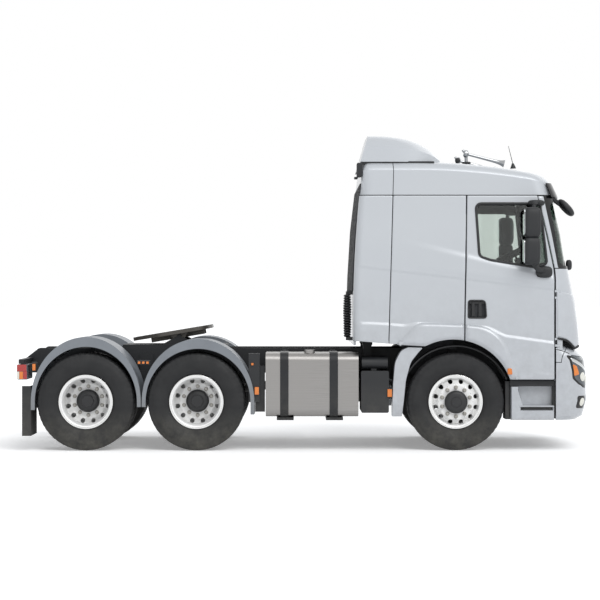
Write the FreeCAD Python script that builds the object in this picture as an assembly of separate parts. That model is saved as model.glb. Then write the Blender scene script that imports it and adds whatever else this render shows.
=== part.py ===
import FreeCAD, Part
import math
import os

V = FreeCAD.Vector
OUT = "parts"
os.makedirs(OUT, exist_ok=True)

# Three-axle tractor unit with a tilting cab. Millimetres, +X forward, +Y left, +Z up.
# The origin is on the ground, half way between the front of the bumper and the tail.

# Axle layout
front_overhang = 1600.0
wheelbase = 2990.0
bogie_spacing = 1275.0
rear_overhang = 800.0
overall_length = front_overhang + wheelbase + bogie_spacing + rear_overhang
nose = overall_length / 2
tail = -overall_length / 2
front_axle = nose - front_overhang
mid_axle = front_axle - wheelbase
rear_axle = mid_axle - bogie_spacing
body_side = 1245.0

# Wheels and tyres
tyre_radius = 562.0
tyre_width = 312.0
rim_seat = 286.0
rim_flange = 312.0
rim_width = 236.0
disc_wall = 14.0
disc_flat = 214.0
front_wheel_y = 1045.0
rear_wheel_y = 1079.0
twin_spacing = 354.0
hand_holes = 12
hand_hole_circle = 238.0
hand_hole_radius = 26.0
hub_radius = 132.0
drum_radius = 205.0
spindle_radius = 45.0
running_fit = 0.05
seat_gap = 0.3

# Steering
kingpin_y = 925.0
kingpin_radius = 25.0
steer_arm = 190.0
steer_arm_drop = 125.0
steer_arm_inset = 105.0
open_stud_gap = 0.5

# Frame
rail_outer_y = 425.0
rail_depth = 295.0
rail_top = 1165.0
rail_flange = 85.0
rail_wall = 9.0
rail_front = nose - 235.0
rail_bottom = rail_top - rail_depth

# Cab
cab_back = 552.0
cab_wall = 60.0
rear_pad_half = 1150.0
cab_floor_z = 1290.0
floor_thickness = 40.0
roof_seam_z = 2943.0
screen_base_z = 2095.0
screen_half_low = 1205.0
screen_half_high = 1175.0
door_bottom_z = 822.0
door_gap = 14.0
seam_gap = 0.3
arch_radius = 695.0
arch_x = front_axle - 39.0
arch_z = 588.0
flare_proud = 12.0
tilt_x = nose - 152.5
tilt_z = 1010.0
tilt_pin_radius = 25.0
tilt_arm_y = 520.0
tilt_arm_width = 40.0

# Fifth wheel
coupling_x = mid_axle - 252.0
coupling_pivot_z = 1300.0
coupling_rest_deg = -9.5
kingpin_bore = 25.6
plate_length = 960.0
plate_width = 900.0
plate_thickness = 42.0


def box(x0, x1, y0, y1, z0, z1):
    return Part.makeBox(x1 - x0, y1 - y0, z1 - z0, V(x0, y0, z0))


def rod(start, direction, radius, length):
    return Part.makeCylinder(radius, length, start, direction)


def across(x, z, y0, y1, radius):
    """A cylinder along Y."""
    return Part.makeCylinder(radius, y1 - y0, V(x, y0, z), V(0, 1, 0))


def upright(x, y, z0, z1, radius):
    """A cylinder along Z."""
    return Part.makeCylinder(radius, z1 - z0, V(x, y, z0))


def outline(points):
    """A closed wire through (point, radius) pairs, each corner rounded by its radius."""
    count = len(points)
    starts = []
    ends = []
    for i, (corner, radius) in enumerate(points):
        before = (points[i - 1][0] - corner).normalize()
        after = (points[(i + 1) % count][0] - corner).normalize()
        half = math.acos(max(-1.0, min(1.0, before.dot(after)))) / 2
        reach = radius / math.tan(half) if radius > 0 else 0.0
        starts.append(corner + before * reach)
        ends.append(corner + after * reach)
    edges = []
    for i, (corner, radius) in enumerate(points):
        if radius > 0:
            bisector = ((starts[i] - corner) + (ends[i] - corner)).normalize()
            chord = (starts[i] - corner).Length
            centre_reach = math.hypot(chord, radius)
            middle = corner + bisector * (centre_reach - radius)
            edges.append(Part.Arc(starts[i], middle, ends[i]).toShape())
        following = starts[(i + 1) % count]
        if (following - ends[i]).Length > 1e-6:
            edges.append(Part.LineSegment(ends[i], following).toShape())
    return Part.Wire(edges)


def side_form(points, y0, y1):
    """A side view outline of (x, z, radius) corners, carried from y0 to y1."""
    wire = outline([(V(x, y0, z), r) for x, z, r in points])
    return Part.Face(wire).extrude(V(0, y1 - y0, 0))


def plan_form(points, z0, z1):
    """A plan outline of (x, y, radius) corners, carried from z0 to z1."""
    wire = outline([(V(x, y, z0), r) for x, y, r in points])
    return Part.Face(wire).extrude(V(0, 0, z1 - z0))


def front_form(points, x0, x1):
    """A front view outline of (y, z, radius) corners, carried from x0 to x1."""
    wire = outline([(V(x0, y, z), r) for y, z, r in points])
    return Part.Face(wire).extrude(V(x1 - x0, 0, 0))


def turned(profile, x, y, z, outward):
    """A lathe form about a Y axis: (radius, distance outward) corners round the point."""
    corners = [V(x + r, y + outward * d, z) for r, d in profile]
    face = Part.Face(Part.makePolygon(corners + corners[:1]))
    return face.revolve(V(x, y, z), V(0, 1, 0), 360)


def mirrored(shape):
    return shape.mirror(V(0, 0, 0), V(0, 1, 0))


def both(shape):
    """A piece and its twin on the other side, kept as two solids."""
    return [shape, mirrored(shape)]


def joined(shapes):
    whole = shapes[0].fuse(shapes[1:]) if len(shapes) > 1 else shapes[0]
    return whole.removeSplitter()


def less(shape, tools):
    return shape.cut(tools) if tools else shape


def save(node, shapes):
    group = shapes if isinstance(shapes, list) else [shapes]
    solids = []
    for shape in group:
        solids.extend(shape.Solids)
    whole = Part.makeCompound(solids) if len(solids) > 1 else solids[0]
    whole.exportStep(os.path.join(OUT, node + ".step"))


# Cab form: plan outlines at several heights, each (height, setback of the front, forward lean of the
# back, half width, front corner radius), joined by straight rules.
cab_levels = [
    (780.0, 92.0, 0.0, 1245.0, 260.0),
    (1330.0, 94.0, 0.0, 1245.0, 260.0),
    (1680.0, 135.0, 0.0, 1245.0, 260.0),
    (2095.0, 212.0, 12.0, 1245.0, 260.0),
    (2500.0, 278.0, 34.0, 1238.0, 250.0),
    (roof_seam_z, 380.0, 71.0, 1215.0, 230.0),
    (3420.0, 540.0, 130.0, 1185.0, 210.0),
]
cab_bow = 75.0
cab_rear_corner = 70.0

bumper_levels = [
    (356.0, 122.0, 1225.0),
    (400.0, 45.0, 1240.0),
    (574.0, 0.0, 1245.0),
    (922.0, 9.0, 1245.0),
    (1039.0, 28.0, 1245.0),
    (1100.0, 68.0, 1245.0),
    (1160.0, 131.0, 1242.0),
    (1206.0, 235.0, 1238.0),
]
bumper_bow = 78.0
bumper_back = nose - 455.0
corner_sweep = 238.0


def plan_wire(z, front, back, half, bow, front_radius, back_radius, inset):
    """Half round front, straight sides and square back with small corners, at one height."""
    front -= inset
    back += inset
    half -= inset
    front_radius = max(front_radius - inset, 20.0)
    back_radius = max(back_radius - inset, 12.0)
    shoulder_x = front - bow
    slope = 2 * math.atan2(bow, half - front_radius)
    a = V(shoulder_x - front_radius, half, z)
    turn = math.pi / 2 - slope
    centre = V(shoulder_x - front_radius, half - front_radius, z)
    b = centre + V(math.sin(turn), math.cos(turn), 0) * front_radius
    mid = centre + V(math.sin(turn / 2), math.cos(turn / 2), 0) * front_radius
    c = V(back + back_radius, half, z)
    rear_centre = V(back + back_radius, half - back_radius, z)
    d = V(back, half - back_radius, z)
    rear_mid = rear_centre + V(-1, 1, 0).normalize() * back_radius

    def flip(p):
        return V(p.x, -p.y, p.z)

    edges = [
        Part.LineSegment(c, a).toShape(),
        Part.Arc(a, mid, b).toShape(),
        Part.Arc(b, V(front, 0, z), flip(b)).toShape(),
        Part.Arc(flip(b), flip(mid), flip(a)).toShape(),
        Part.LineSegment(flip(a), flip(c)).toShape(),
        Part.Arc(flip(c), flip(rear_mid), flip(d)).toShape(),
        Part.LineSegment(flip(d), d).toShape(),
        Part.Arc(d, rear_mid, c).toShape(),
    ]
    return Part.Wire(edges)


def cab_form(inset):
    """The whole cab as one solid, drawn in by inset on every side but the bottom."""
    wires = []
    for z, setback, lean, half, radius in cab_levels:
        wires.append(plan_wire(z, nose - setback, cab_back + lean, half, cab_bow, radius,
                               cab_rear_corner, inset))
    body = Part.makeLoft(wires, True, True)
    roof = side_form([
        (0.0, 700.0, 0),
        (0.0, 3385.0 - inset, 0),
        (nose - 1350.0 - inset, 3385.0 - inset, 2600),
        (nose - 665.0 - inset, 3262.0 - inset, 300),
        (nose - 545.0 - inset, 3120.0 - inset, 130),
        (nose - 330.0 - inset, 2860.0 - inset, 0),
        (nose + 200.0, 2860.0 - inset, 0),
        (nose + 200.0, 700.0, 0),
    ], -1500.0, 1500.0)
    edge = body_side - 47.0 - inset
    crown = front_form([
        (-body_side - 60.0, 700.0, 0),
        (-body_side - 60.0, 2500.0, 0),
        (-edge, 3322.0 - inset, max(110.0 - inset, 40.0)),
        (0.0, 3398.0 - inset, 6000),
        (edge, 3322.0 - inset, max(110.0 - inset, 40.0)),
        (body_side + 60.0, 2500.0, 0),
        (body_side + 60.0, 700.0, 0),
    ], 0.0, nose + 300.0)
    return body.common(roof).common(crown)


def side_y(z):
    """The cab's half width at height z."""
    for low, high in zip(cab_levels, cab_levels[1:]):
        if z <= high[0]:
            return low[3] + (high[3] - low[3]) * (z - low[0]) / (high[0] - low[0])
    return cab_levels[-1][3]


cab_outer = cab_form(0.0)
cab_inner = cab_form(cab_wall)
cab_shell = cab_outer.cut(cab_inner)
far = 1700.0


def lean_line(low, high, z):
    """The x of a straight seam through two (x, z) points, at height z."""
    return low[0] + (high[0] - low[0]) * (z - low[1]) / (high[1] - low[1])


# Seams in the side view, as (x, z) points
rear_seam = ((cab_back + 401.0, 1230.0), (cab_back + 462.0, 3300.0))
door_back = ((front_axle + 93.0, 1276.0), (front_axle + 119.0, roof_seam_z))
door_edge_x = nose - 470.0
door_front = [
    (nose - 664.0, roof_seam_z - seam_gap, 0),
    (door_edge_x, 2060.0, 900),
    (door_edge_x, door_bottom_z, 0),
]
cab_hem_back = 1262.0
cab_hem_front = 1201.0
hem_front_x = arch_x - 323.0
panel_bottom = 1190.0
hinge_x = door_edge_x + door_gap / 2
hinge_y = body_side - 4.0
hinge_pin_radius = 5.0
hinge_barrel_radius = 9.0
hinge_heights = (1250.0, 1800.0)


def arch_tool(extra):
    return across(arch_x, arch_z, -far, far, arch_radius + extra)


def side_slab(side):
    """The space on one side of the cab, from its middle outwards."""
    return box(0, nose + 400, 0, far, 300, 3700) if side > 0 else box(0, nose + 400, -far, 0, 300, 3700)


def door_zone(grow):
    """The door's outline in side view, grown or shrunk all round."""
    z0 = door_bottom_z
    top = roof_seam_z - seam_gap
    back_low = lean_line(door_back[0], door_back[1], z0)
    back_high = lean_line(door_back[0], door_back[1], top)
    points = [(back_low - grow, z0 - grow, 0), (back_high - grow, top + grow, 0)]
    for x, z, r in door_front:
        points.append((x + grow, z + (grow if z > 2500 else 0) - (grow if z < 1000 else 0), r))
    zone = side_form(points, -far, far)
    return zone.cut(arch_tool(-grow))


# Side window of a door, in side view
window_points = [
    (front_axle + 222.0, 2846.0, 60),
    (nose - 640.0, 2846.0, 40),
    (nose - 562.0, 2150.0, 45),
    (nose - 700.0, 2112.0, 150),
    (front_axle + 386.0, 2196.0, 60),
    (front_axle + 262.0, 2240.0, 60),
]


def window_tool(inset):
    wire = outline([(V(x, -far, z), r) for x, z, r in window_points])
    face = Part.Face(wire)
    if inset:
        face = face.makeOffset2D(-inset)
        face = Part.Face(face.Wires[0]) if not face.Faces else face.Faces[0]
    return face.extrude(V(0, 2 * far, 0))


hinge_spots = [V(hinge_x, hinge_y, z) for z in hinge_heights]


def hinge_pocket():
    return [upright(p.x, p.y, p.z - 55, p.z + 55, hinge_barrel_radius + 6) for p in hinge_spots]


def hinge_door_part():
    """A hinge barrel on the door's edge with its bore, for the left door."""
    parts = []
    for p in hinge_spots:
        barrel = upright(p.x, p.y, p.z - 25, p.z + 25, hinge_barrel_radius)
        web = box(p.x - 60, p.x, p.y - 9, p.y + 4, p.z - 25, p.z + 25)
        bore = upright(p.x, p.y, p.z - 30, p.z + 30, hinge_pin_radius + running_fit)
        parts.append(barrel.fuse(web).cut(bore))
    return parts


def hinge_panel_part():
    """Two barrels and the pin on the front panel's edge, for the left door."""
    parts = []
    for p in hinge_spots:
        piece = upright(p.x, p.y, p.z - 50, p.z + 50, hinge_pin_radius)
        for z0 in (p.z - 50, p.z + 25.5):
            barrel = upright(p.x, p.y, z0, z0 + 24.5, hinge_barrel_radius)
            web = box(p.x, p.x + 60, p.y - 9, p.y + 4, z0, z0 + 24.5)
            piece = piece.fuse([barrel, web])
        parts.append(piece)
    return parts


door_slab_left = side_slab(1)
pockets = hinge_pocket()

# Doors
door_blank = cab_shell.common(door_zone(0.0)).common(door_slab_left)
door_left = less(door_blank, pockets + [window_tool(0.0)])
handle_pocket = side_form([
    (front_axle + 134, 1529, 14), (front_axle + 136, 1731, 25),
    (front_axle + 330, 1731, 40), (front_axle + 344, 1529, 25),
], body_side - 32, body_side + 20)
handle_bar = [box(front_axle + x, front_axle + x + 34, body_side - 40, body_side - 8, 1520, 1740)
              for x in (172, 250)]
door_left = joined([door_left.cut(handle_pocket)] + handle_bar + hinge_door_part())
glass_shell = cab_form(24.0).cut(cab_form(30.0))
door_glass_left = glass_shell.common(window_tool(seat_gap)).common(door_slab_left)

# Arch flares, proud of the cab side
flare_points = [
    (arch_x - 655, arch_z + 605, 0), (arch_x - 419, arch_z + 887, 200), (arch_x + 536, arch_z + 832, 450),
    (arch_x + 770, door_bottom_z - 30, 0), (arch_x, door_bottom_z - 30, 0)]
flare_ring = side_form(flare_points, body_side - 2, body_side + flare_proud)
flare_ring = flare_ring.cut(across(arch_x, arch_z, 0, far, arch_radius))
flare_band = flare_ring.common(box(0, nose, 0, far, door_bottom_z, 3000))
door_left = joined([door_left, flare_band.common(door_zone(0.0))])
hem_cut = side_form([
    (0, 0, 0), (0, cab_hem_back, 0), (cab_back + 60, cab_hem_back, 0),
    (hem_front_x, cab_hem_front, 0), (hem_front_x + 60, 0, 0)], -far, far)
flare_rear_zone = box(0, lean_line(door_back[0], door_back[1], 1300) - door_gap / 2, 0, far, 700, 3000)
arch_flare_left = flare_band.common(flare_rear_zone).cut(hem_cut)

# Cab panels
side_zone = side_form([
    (lean_line(*rear_seam, 700.0) + seam_gap / 2, 700, 0),
    (lean_line(*rear_seam, roof_seam_z) + seam_gap / 2, roof_seam_z - seam_gap, 0),
    (lean_line(*door_back, roof_seam_z) - door_gap / 2, roof_seam_z - seam_gap, 0),
    (lean_line(*door_back, 700.0) - door_gap / 2, 700, 0),
], -far, far)
cab_side = less(cab_shell.common(side_zone).common(door_slab_left), [arch_tool(0.0), hem_cut])
cab_side_left = joined([cab_side, arch_flare_left])
rear_zone = side_form([
    (0, 700, 0), (0, roof_seam_z - seam_gap, 0),
    (lean_line(*rear_seam, roof_seam_z) - seam_gap / 2, roof_seam_z - seam_gap, 0),
    (lean_line(*rear_seam, 700.0) - seam_gap / 2, 700, 0),
], -far, far)
roof_zone = box(0, nose + 300, -far, far, roof_seam_z, 3700)
rear_pad = side_form([
    (cab_back - 30, 1840, 12), (cab_back - 24, 2023, 900), (cab_back + 10, 2598, 900),
    (cab_back + 66, 3081, 12), (cab_back + 110, 3081, 0), (cab_back + 30, 1840, 0)],
    -rear_pad_half, rear_pad_half)
cab_rear = joined([cab_shell.common(rear_zone).cut(hem_cut), rear_pad.common(rear_zone)])
cab_roof = joined([cab_shell.common(roof_zone), rear_pad.common(roof_zone)])

front_points = []
for x, z, r in door_front:
    front_points.append((x + door_gap, z, r))
front_zone = side_form(
    [(nose + 300, panel_bottom, 0), (nose + 300, roof_seam_z - seam_gap, 0)] + front_points[:2]
    + [(front_points[1][0], panel_bottom + 110, 0), (nose - 340, panel_bottom + 86, 40),
       (nose - 225, panel_bottom, 60)], -far, far)
lower_front = front_zone.common(box(0, nose + 300, -far, far, panel_bottom, screen_base_z - seam_gap))
upper_front = front_zone.common(box(0, nose + 300, -far, far, screen_base_z, roof_seam_z))

grille_half = 820.0
grille_low = 1262.0
grille_high = 1840.0


def grille_tool(inset):
    g = grille_half - inset
    return front_form([
        (-g + 60, grille_low + inset, 30), (-g, grille_high - inset, 50),
        (g, grille_high - inset, 50), (g - 60, grille_low + inset, 30)], nose - 400, nose + 200)


front_panel = cab_shell.common(lower_front)
front_panel = less(front_panel, [grille_tool(0.0)] + pockets + [mirrored(p) for p in pockets])
hinge_set = hinge_panel_part()
front_panel = joined([front_panel] + hinge_set + [mirrored(h) for h in hinge_set])
grille_skin = cab_form(18.0).cut(cab_form(52.0)).common(grille_tool(seat_gap))
grille_slots = []
slot_count = 6
slot_pitch = (grille_high - grille_low - 60.0) / slot_count
for i in range(slot_count):
    z0 = grille_low + 45.0 + i * slot_pitch
    grille_slots.append(box(nose - 400, nose + 100, -grille_half + 110, grille_half - 110,
                            z0, z0 + slot_pitch * 0.42))
grille = less(grille_skin, grille_slots)


def screen_tool(inset):
    low = screen_half_low - inset
    high = screen_half_high - inset
    return front_form([
        (-low, screen_base_z + 35 + inset, 70), (-high, roof_seam_z - 75 - inset, 90),
        (high, roof_seam_z - 75 - inset, 90), (low, screen_base_z + 35 + inset, 70)], nose - 640, nose + 300)


screen_surround = cab_shell.common(upper_front).cut(screen_tool(0.0))
windscreen = glass_shell.common(screen_tool(seat_gap)).common(upper_front)

# Cab floor: flat pan, engine tunnel, entry wells and the two arms down to the tilt pivot
floor_inset = cab_wall + seat_gap
floor_pan = cab_form(floor_inset).common(box(0, nose, -far, far, cab_floor_z, cab_floor_z + floor_thickness))
tunnel_half = 490.0
tunnel_back = front_axle - 180.0
tunnel_front = nose - 290.0
tunnel_top = cab_floor_z + 300.0
tunnel_out = box(tunnel_back, tunnel_front, -tunnel_half, tunnel_half, cab_floor_z, tunnel_top)
tunnel_in = box(tunnel_back + 35, tunnel_front - 35, -tunnel_half + 35, tunnel_half - 35,
                cab_floor_z - 1, tunnel_top - 35)
well_back = front_axle + 648.0
well_front = nose - 480.0
well_low = door_bottom_z + 28.0
well_deep = 290.0
well_y = body_side - cab_wall - seat_gap
well_out = box(well_back, well_front, well_y - well_deep, well_y, well_low, cab_floor_z + 10)
well_in = box(well_back + 25, well_front - 25, well_y - well_deep + 25, well_y + 10,
              well_low + 30, cab_floor_z + 60)
well = well_out.cut(well_in)
well_floor_gap = box(well_back + 25, well_front - 25, well_y - well_deep + 25, far, cab_floor_z - 1,
                     cab_floor_z + 60)
tilt_eye_radius = 50.0
tilt_reach = 205.0
tilt_arm = side_form([
    (tilt_x - tilt_reach - 110, cab_floor_z + 20, 10), (tilt_x - tilt_reach, cab_floor_z + 20, 10),
    (tilt_x - tilt_reach, tilt_z + 28, 40), (tilt_x, tilt_z + 28, 0), (tilt_x, tilt_z - tilt_eye_radius, 0),
    (tilt_x - tilt_reach - 60, tilt_z - tilt_eye_radius, 50),
], tilt_arm_y, tilt_arm_y + tilt_arm_width)
tilt_eye = across(tilt_x, tilt_z, tilt_arm_y, tilt_arm_y + tilt_arm_width, tilt_eye_radius)
tilt_bore = across(tilt_x, tilt_z, tilt_arm_y - 5, tilt_arm_y + tilt_arm_width + 5,
                   tilt_pin_radius + running_fit)
arm = tilt_arm.fuse(tilt_eye).cut(tilt_bore)

# Cab tilt cylinder, beside the right rail; the rod's cross pin rides in slots of the cab's two lugs
ram_y = -625.0
ram_low = V(front_axle + 650.0, ram_y, 660.0)
ram_high = V(front_axle + 970.0, ram_y, 1240.0)
ram_pin_radius = 14.0
ram_lug = 24.0
ram_slot_radius = ram_pin_radius + 6.0
ram_slot_ends = [ram_high + V(4, 0, -2), ram_high + V(31, 0, -18)]
slot_run = ram_slot_ends[1] - ram_slot_ends[0]
slot_side = V(slot_run.z, 0, -slot_run.x).normalize() * ram_slot_radius
slot_sides = [ram_slot_ends[0] + slot_side, ram_slot_ends[1] + slot_side,
              ram_slot_ends[1] - slot_side, ram_slot_ends[0] - slot_side]
ram_slot = joined(
    [side_form([(p.x, p.z, 0) for p in slot_sides], ram_y - 60, ram_y + 60)]
    + [across(p.x, p.z, ram_y - 60, ram_y + 60, ram_slot_radius) for p in ram_slot_ends])
ram_clevis = []
for y0 in (ram_y - 22 - ram_lug, ram_y + 22):
    lug = side_form([
        (ram_high.x - 40, cab_floor_z + 5, 0), (ram_high.x - 40, ram_high.z - 18, 25),
        (ram_high.x + 10, ram_high.z - 60, 25), (ram_high.x + 76, ram_high.z - 60, 25),
        (ram_high.x + 76, cab_floor_z + 5, 0)], y0, y0 + ram_lug)
    ram_clevis.append(lug.cut(ram_slot))
cab_floor = joined([floor_pan.cut([tunnel_in, well_floor_gap, mirrored(well_floor_gap)]),
                    tunnel_out.cut(tunnel_in), well, mirrored(well), arm, mirrored(arm)] + ram_clevis)

# Roof deflector, open behind
def deflector_form(inset):
    pts = [
        (cab_back + 92 - 30 * (inset > 0), 3300 - 10 * (inset > 0), 0),
        (cab_back + 180 - 30 * (inset > 0), 3668 - inset, 50), (nose - 2100 - inset, 3630 - inset, 900),
        (nose - 1780 - 1.6 * inset, 3370 - inset, 40), (nose - 1740 - 1.6 * inset, 3290, 0)]
    body = side_form(pts, -far, far)
    plan = plan_form([
        (cab_back, -930 + inset, 0), (nose - 1700 - inset, -760 + inset, 170),
        (nose - 1700 - inset, 760 - inset, 170), (cab_back, 930 - inset, 0)], 3200, 3800)
    return body.common(plan)


roof_deflector = deflector_form(0.0).cut(deflector_form(28.0)).cut(cab_outer)

# Sun visor, front mirror, horns and aerial on the cab
visor_stand = 36.0
visor_wall = 12.0
visor_half = 1040.0
visor_low = 2902.0
visor_high = 3080.0
visor_zone = box(nose - 700, nose, -visor_half, visor_half, visor_low, visor_high)
sun_visor = cab_form(-visor_stand - visor_wall).cut(cab_form(-visor_stand)).common(visor_zone)
visor_space = cab_form(-visor_stand - 6.0).cut(cab_outer)
for y in (-860, -300, 300, 860):
    arm_zone = box(nose - 700, nose, y - 12, y + 12, visor_low + 80, visor_low + 110)
    sun_visor = sun_visor.fuse(visor_space.common(arm_zone))
sun_visor = sun_visor.removeSplitter()

front_mirror_arm = rod(V(nose - 560, -1030, 2880), V(0.98, -0.05, -0.12), 16, 330)
front_mirror_head = Part.makeSphere(100)
front_mirror_scale = FreeCAD.Matrix()
front_mirror_scale.scale(0.62, 1.15, 1.25)
front_mirror_head = front_mirror_head.transformGeometry(front_mirror_scale)
front_mirror_head.rotate(V(0, 0, 0), V(0, 1, 0), -42)
front_mirror_head.translate(V(nose - 168, -1050, 2830))
front_mirror = joined([front_mirror_head, front_mirror_arm.cut(cab_outer)])

horns = []
horn_z = 3462.0
for y in (-560.0, 560.0):
    trumpet = Part.makeCone(17, 26, 300, V(nose - 1380, y, horn_z), V(1, 0, -0.09))
    bell = Part.makeCone(26, 62, 90, V(nose - 1380 + 298.8, y, horn_z - 26.9), V(1, 0, -0.09))
    driver = Part.makeCylinder(46, 60, V(nose - 1440, y, horn_z + 5), V(1, 0, -0.09))
    post = upright(nose - 1400, y, 3300, horn_z, 20).cut(cab_outer)
    front_foot = upright(nose - 1120, y, 3240, horn_z - 30, 12).cut(cab_outer)
    horns.append(joined([trumpet.fuse(bell), driver, post, front_foot]))

aerial_y = -620.0
aerial_foot = Part.makeCone(34, 16, 60, V(nose - 870, aerial_y, 3290)).cut(cab_outer)
aerial = joined([aerial_foot, upright(nose - 870, aerial_y, 3340, 3560, 6)])

# Seats, bunk, dashboard and steering wheel
deck = cab_floor_z + floor_thickness
seats = []
for y in (-640.0, 640.0):
    pedestal = side_form([
        (front_axle + 260, deck + seat_gap, 10), (front_axle + 330, 1800, 10),
        (front_axle + 620, 1800, 10), (front_axle + 700, deck + seat_gap, 10)], y - 140, y + 140)
    cushion = side_form([
        (front_axle + 190, 1740, 30), (front_axle + 190, 1880, 50),
        (front_axle + 720, 1905, 60), (front_axle + 730, 1760, 40)], y - 255, y + 255)
    back = side_form([
        (front_axle + 190, 1800, 20), (front_axle + 60, 2490, 50), (front_axle + 160, 2510, 50),
        (front_axle + 320, 1860, 40)], y - 240, y + 240)
    head = side_form([
        (front_axle + 84, 2470, 20), (front_axle + 30, 2690, 30), (front_axle + 120, 2700, 30),
        (front_axle + 150, 2475, 20)], y - 140, y + 140)
    seats.append(joined([pedestal, cushion, back, head]))

bunk_front = cab_back + 790.0
bunk = side_form([
    (cab_back + cab_wall + 5, deck + seat_gap, 0), (cab_back + cab_wall + 5, 1820, 60),
    (bunk_front, 1820, 60), (bunk_front, deck + seat_gap, 0)], -body_side + 90, body_side - 90)

dash_face = side_form([
    (nose - 680, 1980, 60), (nose - 640, 2170, 70), (nose - 330, 2160, 20), (nose - 255, 1860, 20),
    (nose - 330, 1650, 60), (nose - 560, 1680, 60)], -body_side + 66, body_side - 66)
dashboard = dash_face.common(cab_form(floor_inset + 3))
dash_post = box(nose - 470, nose - 340, -300, 300, tunnel_top + seat_gap, 1700)
dashboard = joined([dashboard, dash_post])

wheel_centre = V(nose - 735.0, 640.0, 2335.0)
column_axis = V(-0.42, 0, 0.907).normalize()
wheel_rim = Part.makeTorus(225, 17, wheel_centre, column_axis)
wheel_hub = Part.makeCylinder(62, 52, wheel_centre - column_axis * 62, column_axis)
spokes = []
for turn in (90, 210, 330):
    spoke = box(-12, 222, -18, 18, -26, -8)
    place = FreeCAD.Placement(wheel_centre, FreeCAD.Rotation(V(0, 0, 1), column_axis))
    spoke.Placement = place.multiply(FreeCAD.Placement(V(0, 0, 0), FreeCAD.Rotation(V(0, 0, 1), turn)))
    spokes.append(spoke)
shaft = Part.makeCylinder(14, 150, wheel_centre - column_axis * 205, column_axis)
steering_wheel = joined([wheel_rim, wheel_hub, shaft] + spokes)
column_top = wheel_centre - column_axis * 90
column = Part.makeCylinder(38, 240, column_top, column_axis * -1)
column = column.cut(Part.makeCylinder(14 + running_fit, 122, wheel_centre - column_axis * 206, column_axis))
dashboard = joined([dashboard.cut(Part.makeCylinder(38, 240, column_top, column_axis * -1)), column])

# Mirror on the left door, its two arms and housing
mirror_y = 1410.0
mirror_case = side_form([
    (nose - 848, 2135, 60), (nose - 852, 2790, 70), (nose - 662, 2797, 80), (nose - 650, 2150, 60)],
    mirror_y - 112, mirror_y + 112)
mirror_arm_top = side_form([
    (nose - 790, 2776, 8), (nose - 790, 2862, 20), (nose - 650, 2880, 20), (nose - 690, 2776, 8)],
    side_y(2776.0) + seat_gap, mirror_y + 40)
mirror_arm_low = side_form([
    (nose - 700, 2165, 10), (nose - 560, 1990, 12), (nose - 545, 2040, 12), (nose - 660, 2185, 10)],
    body_side + seat_gap, mirror_y + 20)
mirror_left = joined([mirror_case, mirror_arm_top, mirror_arm_low])

# Spiral air lines, hung behind the cab between two fittings
line_x = cab_back - 62.0
line_radius = 50.0
air_lines = []
for y in (-700.0, -580.0):
    air_lines.append(joined([
        upright(line_x, y, 1300, 1800, line_radius),
        box(line_x - 20, cab_back - seat_gap, y - 20, y + 20, 1800, 1835),
        box(line_x - 20, cab_back - seat_gap, y - 20, y + 20, 1265, 1300)]))

save("door_left", door_left)
save("door_right", mirrored(door_left))
save("door_glass_left", door_glass_left)
save("door_glass_right", mirrored(door_glass_left))
save("mirror_left", mirror_left)
save("mirror_right", mirrored(mirror_left))
save("cab_sides", both(cab_side_left))
save("cab_rear", cab_rear)
save("cab_roof", cab_roof)
save("grille", grille)
save("screen_surround", screen_surround)
save("windscreen", windscreen)
save("cab_floor", cab_floor)
save("roof_deflector", roof_deflector)
save("visor_and_mirror", [sun_visor, front_mirror])
save("air_horns", horns + [aerial])
save("seats", seats + [bunk])
save("dashboard", dashboard)
save("steering_wheel", steering_wheel)
save("air_lines", air_lines)


# Frame rails: channels with the open side inward, the top sloping down at the tail
def rail():
    outer = side_form([
        (tail, rail_bottom + 40, 30), (tail, rail_top - 120, 10), (tail + 155, rail_top, 40),
        (rail_front, rail_top, 6), (rail_front, rail_bottom, 6), (tail + 130, rail_bottom, 60),
    ], rail_outer_y - rail_flange, rail_outer_y)
    hollow = side_form([
        (tail - 50, rail_bottom + 49, 0), (tail, rail_bottom + 49, 0), (tail, rail_top - 129, 0),
        (tail + 155, rail_top - rail_wall, 0),
        (rail_front + 50, rail_top - rail_wall, 0), (rail_front + 50, rail_bottom + rail_wall, 0),
        (tail + 130, rail_bottom + rail_wall, 0),
    ], rail_outer_y - rail_flange - 10, rail_outer_y - rail_wall)
    return outer.cut(hollow)


rail_left = rail()
web_y = rail_outer_y - rail_wall - seat_gap
member_places = [rail_front - 60, front_axle - 1150, front_axle - 1900, mid_axle + 560,
                 (mid_axle + rear_axle) / 2, rear_axle - 330, tail + 60]
crossmembers = []
for x in member_places:
    high = rail_top - rail_wall - 12 if x > tail + 200 else rail_top - 150
    low = rail_bottom + rail_wall + 12 if x > tail + 200 else rail_bottom + 70
    beam = box(x - 40, x + 40, -web_y, web_y, low, high)
    hollow = box(x - 50, x + 31, -web_y + 10, web_y - 10, low + 9, high - 9)
    crossmembers.append(beam.cut(hollow))
save("frame_rail_left", rail_left)
save("frame_rail_right", mirrored(rail_left))
save("crossmembers", crossmembers)

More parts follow.
